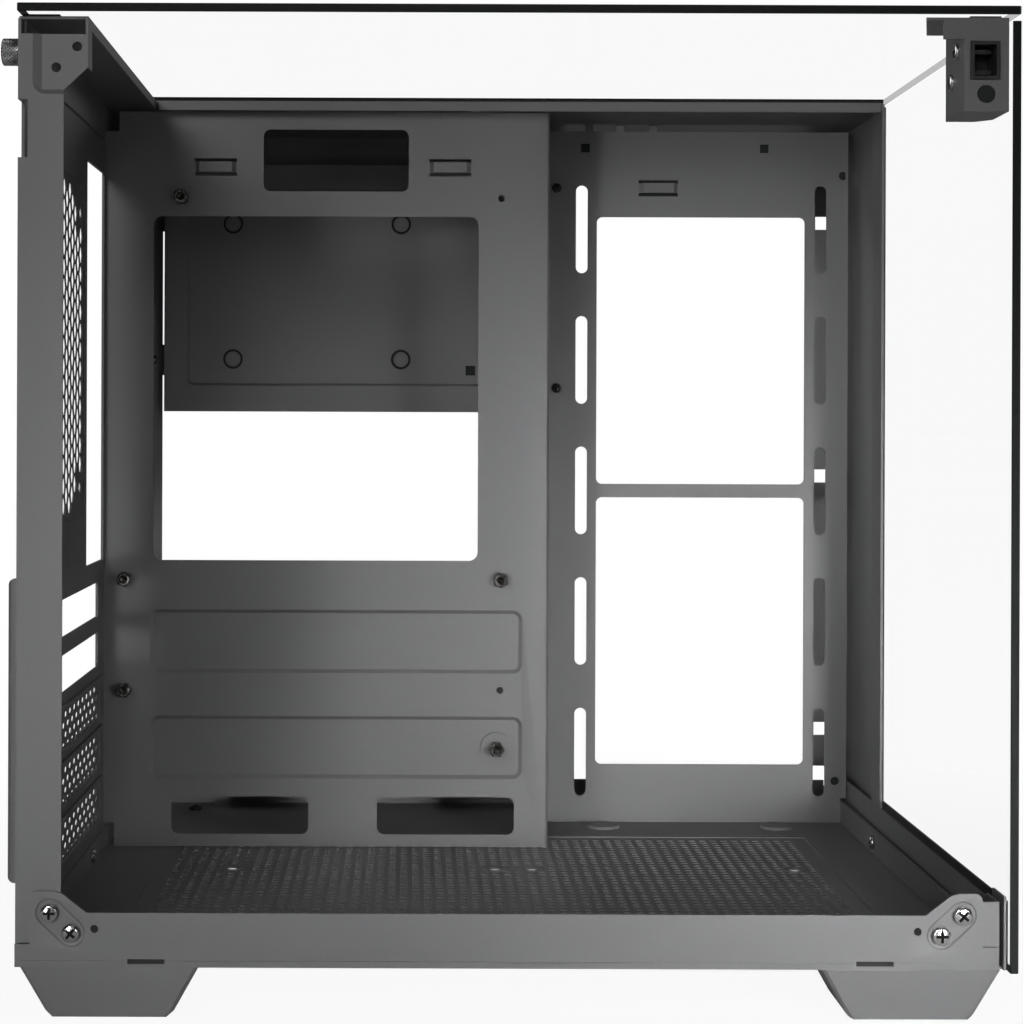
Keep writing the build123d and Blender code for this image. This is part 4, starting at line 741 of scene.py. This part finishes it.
class CASE_OT_floor(bpy.types.Operator):
    """Floor pan with its fine perforation, the fans' dimples and the ears' pressings"""

    bl_idname = "case.floor"
    bl_label = "Floor pan"

    def execute(self, context):
        detail = context.scene.case_detail
        pan_low, pan_high = corners("floor_pan")
        rail, tray = pan_low.y, pan_low.y + RAIL_TO_TRAY
        low = Vector((pan_low.x, rail, pan_low.z)) + mm(27.8, 27.5, 0)
        high = Vector((pan_high.x, tray, pan_low.z)) + mm(-23.4, 22.5, 1)
        hem = block_mesh(
            Vector((pan_low.x, rail, pan_low.z)) + mm(-1, -1, 2.1),
            Vector((pan_high.x, rail, pan_low.z)) + mm(1, 0.25, 2.35), "hem",
        )
        top, inset, width = pan_low.z + 24.6 * MM, 4.8 * MM, 9.4 * MM
        spots = [(pan_low.x + inset, top), (pan_low.x + inset + width, top)]
        spots += [(pan_low.x + pan_high.x - x, z) for x, z in spots]
        ears = [self.ear_pressing(node, rail) for node in ("back_ear_screws", "front_ear_screws")]
        cut_sheet("floor_pan", [window((low, high)), hem, *ears], 0.22, spots, 2.2 * MM)

        middle_x, middle_y, half = pan_low.x + 168.5 * MM, tray - 93 * MM, 52.5 * MM
        rounds = [
            (middle_x + side * 59 * MM + i * half * 0.985, middle_y + j * half, low.z)
            for side in (-1, 1) for i in (-1, 1) for j in (-1, 1)
        ]
        plate = (low, high - mm(0, 0, 0.35))
        perforated("floor_perforation", plate, ON_FLOOR, {
            "Pitch": detail.floor_pitch, "Column Step": detail.floor_pitch, "Stagger": 0.0,
            "Hole Radius": detail.floor_hole / 2, "Sides": 8, "Round Radius": detail.fan_screw / 2,
            "Round Margin": 6.2 * MM, "Edge Margin": 3.2 * MM,
        }, rounds)
        self.dimples(rounds, plate[1].z)
        return {"FINISHED"}

    def ear_pressing(self, node, rail):
        """The shallow land under both screws of an ear."""
        centres = [((low + high) / 2).xz for low, high in islands(node)]
        points = []
        for place in centres:
            points += ring_points(place, 4.9 * MM, rail - 0.2 * MM) + ring_points(place, 4.2 * MM, rail + 0.42 * MM)
        return hull_mesh(points, node + "_land")

    def dimples(self, rounds, top):
        """The pressed rim round each fan screw hole."""
        profile = [mm(*point) for point in ((2.5, -0.01), (2.6, 0.05), (4.1, 0.3), (4.5, 0.3), (5.1, -0.01))]
        pattern = mesh_from(lathe(profile, 28, ring=True), "dimple_pattern")
        places = [(x, y, top) for x, y, z in rounds]
        repeat_at("floor_dimples", pattern, places, [(0, 0, 1)] * len(places), "steel_sheet")


class CASE_OT_back(bpy.types.Operator):
    """Back panel with its honeycomb grille and the sloped step round the head ear"""

    bl_idname = "case.back"
    bl_label = "Back panel"

    def execute(self, context):
        detail = context.scene.case_detail
        panel_high = Vector(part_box("back_panel")[1])
        pan_low = Vector(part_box("floor_pan")[0])
        outer, rail = pan_low.x, pan_low.y
        centre = Vector((outer, rail + RAIL_TO_TRAY, panel_high.z)) + mm(0.5, -116, -103.4)
        span = mm(0.5, 60, 64)
        spots = [(outer + 22.5 * MM, panel_high.z - 5 * MM)]
        step = self.ear_step(outer + 7.5 * MM, panel_high.z - 5 * MM, rail + MM)
        cut_sheet("back_panel", [window((centre - span, centre + span)), step], 0.22, spots, 1.7 * MM)
        half = 52.5 * MM
        rounds = [(centre.x, centre.y + i * half, centre.z + j * half) for i in (-1, 1) for j in (-1, 1)]
        thin = mm(0.25, 0, 0)
        box = (centre - span + thin, centre + span - thin)
        perforated("back_grille", box, ON_BACK, {
            "Pitch": detail.grille_pitch, "Column Step": detail.grille_pitch * 0.866,
            "Hole Radius": detail.grille_hole / math.sqrt(3), "Sides": 6, "Cut Corner": 22 * MM,
            "Round Radius": detail.fan_screw / 2, "Round Margin": 7.5 * MM, "Edge Margin": 0.5 * MM,
        }, rounds)
        return {"FINISHED"}

    def ear_step(self, land, top, face):
        """What the slope down to the ear's land takes away, with a round corner."""
        low, right, above = top - 18 * MM, land + 30 * MM, top + 2 * MM
        wide, round_off = 2.8 * MM, 4.0 * MM
        points = [Vector((x, face + 0.97 * MM, z)) for x in (land, right) for z in (low, above)]
        edge, foot = land - wide, low - 1.6 * MM
        points += [Vector((x, face - 0.01 * MM, z)) for x, z in ((edge, above), (right, above), (right, foot))]
        for i in range(6):
            angle = math.pi / 2 * i / 5
            x = edge + round_off * (1 - math.cos(angle))
            z = foot + round_off * (1 - math.sin(angle))
            points.append(Vector((x, face - 0.01 * MM, z)))
        points += [point - mm(0, 1, 0) for point in points[4:]]
        return hull_mesh(points, "ear_step")


class CASE_OT_slot_covers(bpy.types.Operator):
    """Three slot covers with their small staggered holes"""

    bl_idname = "case.slot_covers"
    bl_label = "Slot covers"

    def execute(self, context):
        detail = context.scene.case_detail
        for node in sorted(name for name in NODES if name.startswith("slot_cover_") and name[-1].isdigit()):
            cover_low, cover_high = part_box(node)
            middle = (cover_low[2] + cover_high[2]) / 2
            low = Vector((cover_high[0] - MM, cover_low[1] + 5 * MM, middle - 7.2 * MM))
            high = Vector((cover_high[0], cover_high[1] - 9 * MM, middle + 7.2 * MM))
            cut_sheet(node, [window((low, high))], 0.2)
            thin = mm(0.25, 0, 0)
            perforated(node + "_perforation", (low + thin, high - thin), ACROSS_COVER, {
                "Pitch": detail.cover_pitch, "Column Step": 3.7 * MM, "Columns": 4,
                "Hole Radius": detail.cover_hole / 2, "Stretch": 2.2, "Sides": 8, "Round Radius": MM,
                "Round Margin": 0.0, "Edge Margin": 0.25 * MM,
            })
        return {"FINISHED"}


class CASE_OT_folded_sheets(bpy.types.Operator):
    """Board tray, fan panel, drive plate, posts, rails, deck, lid, bracket and screw cover"""

    bl_idname = "case.folded_sheets"
    bl_label = "Folded sheets"

    def execute(self, context):
        low, high = corners("front_glass_rail")
        beside_ear = block_mesh(
            low + mm(-1, -1, 16.5), Vector((low.x, low.y, high.z)) + mm(6.5, 4, 1), "beside_ear"
        )
        for node, radius in FOLDED_SHEETS.items():
            cut_sheet(node, [beside_ear] if node == "front_glass_rail" else [], radius)
        return {"FINISHED"}


class CASE_OT_painted_hole_shade(bpy.types.Operator):
    """Painted shade behind the small holes, dark plates where there is only shade; painted shadow rings round the
    drive plate's cups, and the cups' centres
    """

    bl_idname = "case.hole_backs"
    bl_label = "Painted shade in small holes"

    def execute(self, context):
        pan_low = Vector(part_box("floor_pan")[0])
        tray = pan_low.y + RAIL_TO_TRAY
        fan, drive = tray + 56 * MM, tray + 90 * MM
        step = pan_low.x + 184.5 * MM
        deck = Vector(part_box("back_panel")[1]).z + MM
        holes = (  # a corner of the case, the way from it, and the width and height, in millimetres
            ((step, fan, deck), (19.3, -10.7), (4.4, 4.4)),
            ((step, fan, deck), (98.0, -10.7), (4.4, 4.4)),
            ((step, fan, deck), (132.7, -22.6), (4.2, 4.2)),
            ((step, fan, pan_low.z), (129.9, 19.2), (4.2, 4.2)),
            ((step, fan, deck), (51.4, -28.3), (17.8, 7.6)),
            ((pan_low.x, drive, deck), (154.4, -108), (4.4, 4.4)),
            ((pan_low.x, tray, deck), (164.54, -242.3), (3.4, 3.4)),
            ((pan_low.x, pan_low.y, deck), (313.4, -24.7), (6.4, 6.4)),
        )
        # Dark plates a little behind the small holes, in the shade material: painted shade seen through the holes
        bm = bmesh.new()
        for corner, (x, z), (wide, tall) in holes:
            made = bmesh.ops.create_cube(bm, size=1)["verts"]
            place = Matrix.LocRotScale(Vector(corner) + mm(x, 0.85, z), None, mm(wide, 0.3, tall))
            bmesh.ops.transform(bm, matrix=place, verts=made)
        new_piece("small_hole_backs", mesh_from(bm, "small_hole_backs"), "shade")
        self.cups(pan_low.x, drive, deck)
        return {"FINISHED"}

    def cups(self, back, drive, deck):
        centre_x, centre_z = back + 84.3 * MM, deck - 72.2 * MM
        places = [
            (centre_x + i * 38.3 * MM, drive + 1.0 * MM, centre_z + j * 30.86 * MM) for i in (-1, 1) for j in (-1, 1)
        ]
        # Thin dark rings in the shade material round each cup: painted shadow of the cup's wall
        rim = [mm(*point) for point in ((3.45, 0), (3.5, 0.42), (4.45, 0.42), (4.5, 0))]
        pattern = mesh_from(lathe(rim, 32, ring=True), "cup_pattern")
        repeat_at("drive_cup_rims", pattern, places, [(0, -1, 0)] * 4, "shade")
        centre = [mm(*point) for point in ((0, 0), (1.95, 0), (1.9, 0.3), (0, 0.4))]
        pattern = mesh_from(lathe(centre, 24), "centre_pattern")
        seats = [(x, y + 0.5 * MM, z) for x, y, z in places]
        repeat_at("drive_cup_centres", pattern, seats, [(0, -1, 0)] * 4, "foot_plastic")


class CASE_OT_glass(bpy.types.Operator):
    """Top and front panes, clear, with dark ground edges"""

    bl_idname = "case.glass"
    bl_label = "Glass"

    def execute(self, context):
        for node, thin in (("top_glass", 2), ("front_glass", 0)):
            bm = merged(node)
            bm.normal_update()
            for face in bm.faces:
                face.material_index = 0 if abs(face.normal[thin]) > 0.95 else 1
                if face.normal[2 - thin] > 0.5:
                    face.material_index = thin
            mesh = mesh_from(bm, node + "_pane")
            for finish in ("glass", "glass_edge", "glass_joint"):
                mesh.materials.append(finish_of(finish))
            new_piece(node + "_pane", mesh, "glass", [node])
        return {"FINISHED"}


class CASE_OT_tapes(bpy.types.Operator):
    """Foam tape under the panes"""

    bl_idname = "case.tapes"
    bl_label = "Foam tape"

    def execute(self, context):
        for node in ("top_glass_tape", "front_glass_tape"):
            NODES[node].data.materials.clear()
            NODES[node].data.materials.append(finish_of("foam_tape"))
        return {"FINISHED"}


class CASE_OT_catch(bpy.types.Operator):
    """Moulded catch in the corner bracket"""

    bl_idname = "case.catch"
    bl_label = "Panel catch"

    def execute(self, context):
        node = "panel_catch"
        piece = new_piece(node + "_moulding", mesh_from(merged(node), node + "_moulding"), "catch_plastic", [node])
        break_edges(piece, 0.2)
        return {"FINISHED"}


class CASE_OT_feet(bpy.types.Operator):
    """Four moulded feet and their pads"""

    bl_idname = "case.feet"
    bl_label = "Feet"

    def execute(self, context):
        for corner in FEET:
            for kind, slot, radius in (("foot", "foot_plastic", 0.7), ("foot_pad", "soft_pad", 0.4)):
                node = f"{kind}_{corner}"
                name = node + "_moulding"
                bm = merged(node)
                if kind == "foot":
                    rounded_corners(bm, self.toes(node), 2.4 * MM)
                break_edges(new_piece(name, mesh_from(bm, name), slot, [node]), radius)
        return {"FINISHED"}

    def toes(self, node):
        """Where the lower ends of a foot are."""
        low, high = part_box(node)
        return [(low[0] + 9.2 * MM, low[2]), (high[0] - 9.2 * MM, low[2])]


def phillips_head(radius, height, shank, grip):
    """A pan-head screw blank, without its cross recess yet, with a threaded shank, its head seated at the origin."""
    rim = height * 0.42
    profile = [(0, -height)]
    profile += [
        (radius * math.sin(step), -rim - (height - rim) * math.cos(step) ** 0.8)
        for step in (math.radians(a) for a in (18, 36, 52, 66, 78, 86))
    ]
    profile += [(radius, -rim), (radius, -0.12 * height), (radius * 0.96, 0), (shank, 0)]
    turns = int(grip / (0.5 * MM))
    for i in range(turns):
        profile += [(shank, (i + 0.15) * grip / turns), (shank * 0.86, (i + 0.65) * grip / turns)]
    profile += [(shank * 0.8, grip), (0, grip)]
    return mesh_from(lathe(profile, 32), "screw_blank")


def cross_recess(radius, height):
    """The tapered cross that is taken out of a screw's head."""
    bm = bmesh.new()
    long, wide, deep = radius * 0.8, radius * 0.27, height * 0.95
    for turn in (0, math.pi / 2):
        made = bmesh.ops.create_cube(bm, size=1)["verts"]
        for vert in made:
            near = 1 if vert.co.z < 0 else 0
            vert.co.x *= 2 * long * (1 if near else 0.55)
            vert.co.y *= wide * (1.25 if near else 0.85)
            vert.co.z = -height * 1.3 if near else -height + deep
        bmesh.ops.rotate(bm, verts=made, matrix=Matrix.Rotation(turn, 3, "Z"))
    # The recess's faces take the second material, the shade slot: painted shade in the cross
    for face in bm.faces:
        face.material_index = 1
    return mesh_from(bm, "cross_recess")


def screw_pattern(radius, height, shank, grip):
    """The finished screw."""
    blank, cross = phillips_head(radius, height, shank, grip), cross_recess(radius, height)
    for mesh in (blank, cross):
        mesh.materials.append(finish_of("steel_sheet"))
        mesh.materials.append(finish_of("shade"))
    return smooth(cut_away(blank, cross, "screw_pattern", True), 35)


def seated(node, direction, head):
    """Where each screw of a node seats, which way it points, and its sizes."""
    along = Vector(direction)
    axis = max(range(3), key=lambda i: abs(along[i]))
    side = (axis + 1) % 3
    found = []
    for low, high in islands(node):
        middle = (low + high) / 2
        seat = middle.copy()
        sign = along[axis]
        if node == "pan_screws" and middle.x > 0:
            sign = -sign
        start = low[axis] if sign > 0 else high[axis]
        seat[axis] = start + sign * head
        pointing = Vector([sign if i == axis else 0 for i in range(3)])
        found.append((seat, pointing, (high - low)[side] / 2, abs((high - low)[axis]) - head))
    return found


def repeat_at(name, pattern_mesh, places, directions, slot, nodes=(), turn_step=0.7):
    """One piece made of copies of a pattern."""
    pattern = scratch_object(pattern_mesh)
    mesh = grown(
        places_mesh(name + "_places", places, directions),
        tree_named("repeated_fastener", repeat_tree),
        {"Pattern": pattern, "Turn Step": turn_step, "Material": finish_of(slot)}, name,
    )
    discard(pattern)
    return new_piece(name, mesh, slot, nodes)


class CASE_OT_screws(bpy.types.Operator):
    """Pan-head screws with cross recesses"""

    bl_idname = "case.screws"
    bl_label = "Screws"

    def execute(self, context):
        for node, direction, head, slot, share in SCREW_GROUPS:
            found = seated(node, direction, head * MM)
            radius, grip = found[0][2] * share, found[0][3]
            pattern = screw_pattern(radius, head * MM, 1.4 * MM, grip)
            repeat_at(
                node + "_finished", pattern, [item[0] for item in found], [item[1] for item in found], slot, [node]
            )
        return {"FINISHED"}


class CASE_OT_standoffs(bpy.types.Operator):
    """Six-sided standoffs with chamfered ends and a bore"""

    bl_idname = "case.standoffs"
    bl_label = "Standoffs"

    def execute(self, context):
        boxes = islands("standoffs")
        length = (boxes[0][1] - boxes[0][0]).y
        corner, bore = 5.5 * MM / math.sqrt(3), 1.4 * MM
        profile = [
            (0.1 * MM, 3.2 * MM), (bore * 0.9, 2.6 * MM), (bore, 0.5 * MM), (bore * 1.3, 0.02 * MM),
            (bore * 1.55, 0), (corner * 0.84, 0.25 * MM), (corner, 0.8 * MM), (corner, length - 0.3 * MM),
            (corner * 0.84, length), (0.1 * MM, length),
        ]

        def six_sided(radius, angle, height):
            if radius != corner:
                return radius
            return corner * math.cos(math.pi / 6) / math.cos((angle % (math.pi / 3)) - math.pi / 6)

        pattern = smooth(mesh_from(lathe(profile, 36, reach=six_sided), "standoff_pattern"), 25)
        places = [((low + high) / 2).xyz for low, high in boxes]
        for place, (low, high) in zip(places, boxes):
            place.y = low.y
        along = [(0, 1, 0)] * len(places)
        repeat_at("standoffs_finished", pattern, places, along, "standoff_metal", ["standoffs"], 0.35)
        return {"FINISHED"}


class CASE_OT_rivets(bpy.types.Operator):
    """Blind rivets with domed heads and the hole of their pin"""

    bl_idname = "case.rivets"
    bl_label = "Rivets"

    def execute(self, context):
        boxes = islands("rivets")
        head, radius = 0.9 * MM, 3.1 * MM
        profile = [
            (0, -0.1 * MM), (0.7 * MM, -0.1 * MM), (0.8 * MM, -0.75 * MM), (1.2 * MM, -head),
            (radius * 0.7, -head * 0.82), (radius * 0.93, -head * 0.5), (radius, -head * 0.18),
            (radius * 0.98, 0), (1.6 * MM, 0), (1.6 * MM, 2 * MM), (0, 2 * MM),
        ]
        pattern = smooth(mesh_from(lathe(profile, 28), "rivet_pattern"), 40)
        middles = [(low + high) / 2 for low, high in boxes]
        places = [(low.x + head, middle.y, middle.z) for middle, (low, high) in zip(middles, boxes)]
        repeat_at("rivets_finished", pattern, places, [(1, 0, 0)] * len(places), "dark_screws", ["rivets"])
        return {"FINISHED"}


class CASE_OT_thumbscrew(bpy.types.Operator):
    """Thumbscrew with a diamond knurl"""

    bl_idname = "case.thumbscrew"
    bl_label = "Thumbscrew"

    def execute(self, context):
        low, high = corners("thumbscrew")
        radius, middle = (high.y - low.y) / 2, (low + high) / 2
        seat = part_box("top_deck")[0][0]
        length = seat - low.x
        bm = self.knurled(radius, length, context.scene.case_detail.knurls, high.x - seat)
        mesh = mesh_from(bm, "thumbscrew_knurled")
        facing = Matrix(((0, 0, 1), (0, 1, 0), (-1, 0, 0))).to_4x4()
        mesh.transform(Matrix.Translation((seat, middle.y, middle.z)) @ facing)
        new_piece("thumbscrew_knurled", smooth(mesh, 50), "black_screw", ["thumbscrew"])
        return {"FINISHED"}

    def knurled(self, radius, length, ridges, shank_length):
        """A head with two sets of helical ridges, and its plain shank."""
        rows, depth, lead = 30, 0.5 * MM, math.tau / ridges
        head = ((0.2, 1), (0.62, 1), (0.7, 0.985), (0.9, 0.97))
        profile = [(radius * share, -length * along) for share, along in head]
        profile += [(radius, -length * (0.93 - 0.8 * row / rows)) for row in range(rows + 1)]
        profile += [(radius * share, -length * along) for share, along in ((0.9, 0.09), (0.72, 0.07), (0.72, 0))]
        profile += [(1.4 * MM, 0), (1.4 * MM, shank_length)]

        def ridged(size, angle, height):
            if size != radius:
                return size
            twist = height / (0.55 * MM) * lead / 2
            waves = [abs(((angle + side * twist) / lead) % 1 - 0.5) * 2 for side in (-1, 1)]
            return size - depth * max(waves) ** 2

        return lathe(profile, ridges * 6, reach=ridged)


# ---- studio ---------------------------------------------------------------------------------


def white_for_view(tree):
    """1 where the camera, or the view through glass, meets the surface."""
    path = add_node(tree, "ShaderNodeLightPath").outputs
    return calc(tree, "MAXIMUM", path["Is Camera Ray"], path["Is Transmission Ray"])


def floor_material(paint):
    """Pale floor that keeps a soft part of the case's shadow."""
    material, tree, shader = new_material("pale_floor")
    fill_inputs(tree, shader, {"Base Color": (*paint, 1), "Roughness": 0.9})
    shader.inputs["Specular IOR Level"].default_value = 0.0
    bright = add_node(tree, "ShaderNodeEmission", {"Color": (1, 1, 1, 1), "Strength": 1.0})
    mix = add_node(tree, "ShaderNodeMixShader")
    place = add_node(tree, "ShaderNodeTexCoord").outputs["Object"]
    away = add_node(tree, "ShaderNodeVectorMath", {0: place}, operation="LENGTH").outputs["Value"]
    white = spread(tree, away, 0.18, 0.45, 0.93)
    spot = add_node(tree, "ShaderNodeSeparateXYZ", {0: place}).outputs
    beside = [
        spread(tree, calc(tree, "ABSOLUTE", spot[i]), near, near + 0.012) for i, near in ((0, 0.150), (1, 0.066))
    ]
    clear = calc(tree, "MULTIPLY", white, calc(tree, "MAXIMUM", *beside))
    share = calc(tree, "MULTIPLY", white_for_view(tree), clear)
    fill_inputs(tree, mix, {0: share, 1: shader.outputs[0], 2: bright.outputs[0]})
    tree.links.new(mix.outputs[0], tree.nodes["Material Output"].inputs["Surface"])
    return material


def add_lamp(share, name, watts, place, target, width, height, spread):
    """A soft rectangular lamp, aimed at a point."""
    lamp = bpy.data.lights.new(name, "AREA")
    lamp.shape = "RECTANGLE"
    lamp.energy = share * watts
    lamp.size, lamp.size_y = width, height
    lamp.spread = math.radians(spread)
    holder = in_scene(name, lamp)
    holder.location = place
    holder.rotation_euler = (Vector(target) - Vector(place)).to_track_quat("-Z", "Y").to_euler()


class CASE_OT_studio(bpy.types.Operator):
    """Floor, lamps, sky and camera"""

    bl_idname = "case.studio"
    bl_label = "Studio"

    def execute(self, context):
        studio = context.scene.case_studio
        bm = bmesh.new()
        bmesh.ops.create_grid(bm, x_segments=8, y_segments=8, size=30)
        mesh = mesh_from(bm, "studio_floor")
        mesh.materials.append(floor_material(studio.floor))
        in_scene("studio_floor", mesh)

        world = bpy.data.worlds.new("studio_sky")
        context.scene.world = world
        world.use_nodes = True
        tree = world.node_tree
        strength = spread(tree, white_for_view(tree), 0.0, 1.0, studio.sky, 1.0)
        fill_inputs(tree, tree.nodes["Background"], {"Color": (1, 1, 1, 1), "Strength": strength})

        for lamp in LAMPS:
            add_lamp(studio.lamps, *lamp)

        view = bpy.data.cameras.new("view")
        view.lens = studio.lens
        view.sensor_width = 36
        view.clip_start = 0.01
        view.clip_end = 100
        frame_width, frame_height = 1023, 1024
        aim_x, aim_y = 413, 421
        view.shift_x = (frame_width / 2 - aim_x) / frame_height
        view.shift_y = (aim_y - frame_height / 2) / frame_height
        camera = in_scene("view", view)
        camera.location = studio.camera_place
        camera.rotation_euler = (math.radians(90), studio.roll, 0)
        context.scene.camera = camera
        context.scene.view_settings.view_transform = "Standard"
        return {"FINISHED"}


PIECES = (
    CASE_OT_floor, CASE_OT_back, CASE_OT_slot_covers, CASE_OT_folded_sheets, CASE_OT_painted_hole_shade,
    CASE_OT_glass, CASE_OT_tapes, CASE_OT_catch, CASE_OT_feet, CASE_OT_screws, CASE_OT_standoffs,
    CASE_OT_rivets, CASE_OT_thumbscrew, CASE_OT_studio,
)


class CASE_PT_panel(bpy.types.Panel):
    """Lists what makes the case"""

    bl_label = "Computer case"
    bl_idname = "CASE_PT_panel"
    bl_space_type = "VIEW_3D"
    bl_region_type = "UI"
    bl_category = "Case"

    def draw(self, context):
        for piece in PIECES:
            self.layout.operator(piece.bl_idname)


SETTINGS = {"case_finish": CaseFinish, "case_detail": CaseDetail, "case_studio": CaseStudio}


def register():
    for group in SETTINGS.values():
        bpy.utils.register_class(group)
    for piece in (*PIECES, CASE_PT_panel):
        bpy.utils.register_class(piece)
    for name, group in SETTINGS.items():
        setattr(bpy.types.Scene, name, PointerProperty(type=group))


def unregister():
    for name in SETTINGS:
        delattr(bpy.types.Scene, name)
    for piece in (CASE_PT_panel, *reversed(PIECES)):
        bpy.utils.unregister_class(piece)
    for group in reversed(SETTINGS.values()):
        bpy.utils.unregister_class(group)


def main():
    register()
    for piece in PIECES:
        group, name = piece.bl_idname.split(".")
        getattr(getattr(bpy.ops, group), name)()
    bpy.context.view_layer.update()


if __name__ == "__main__":
    main()
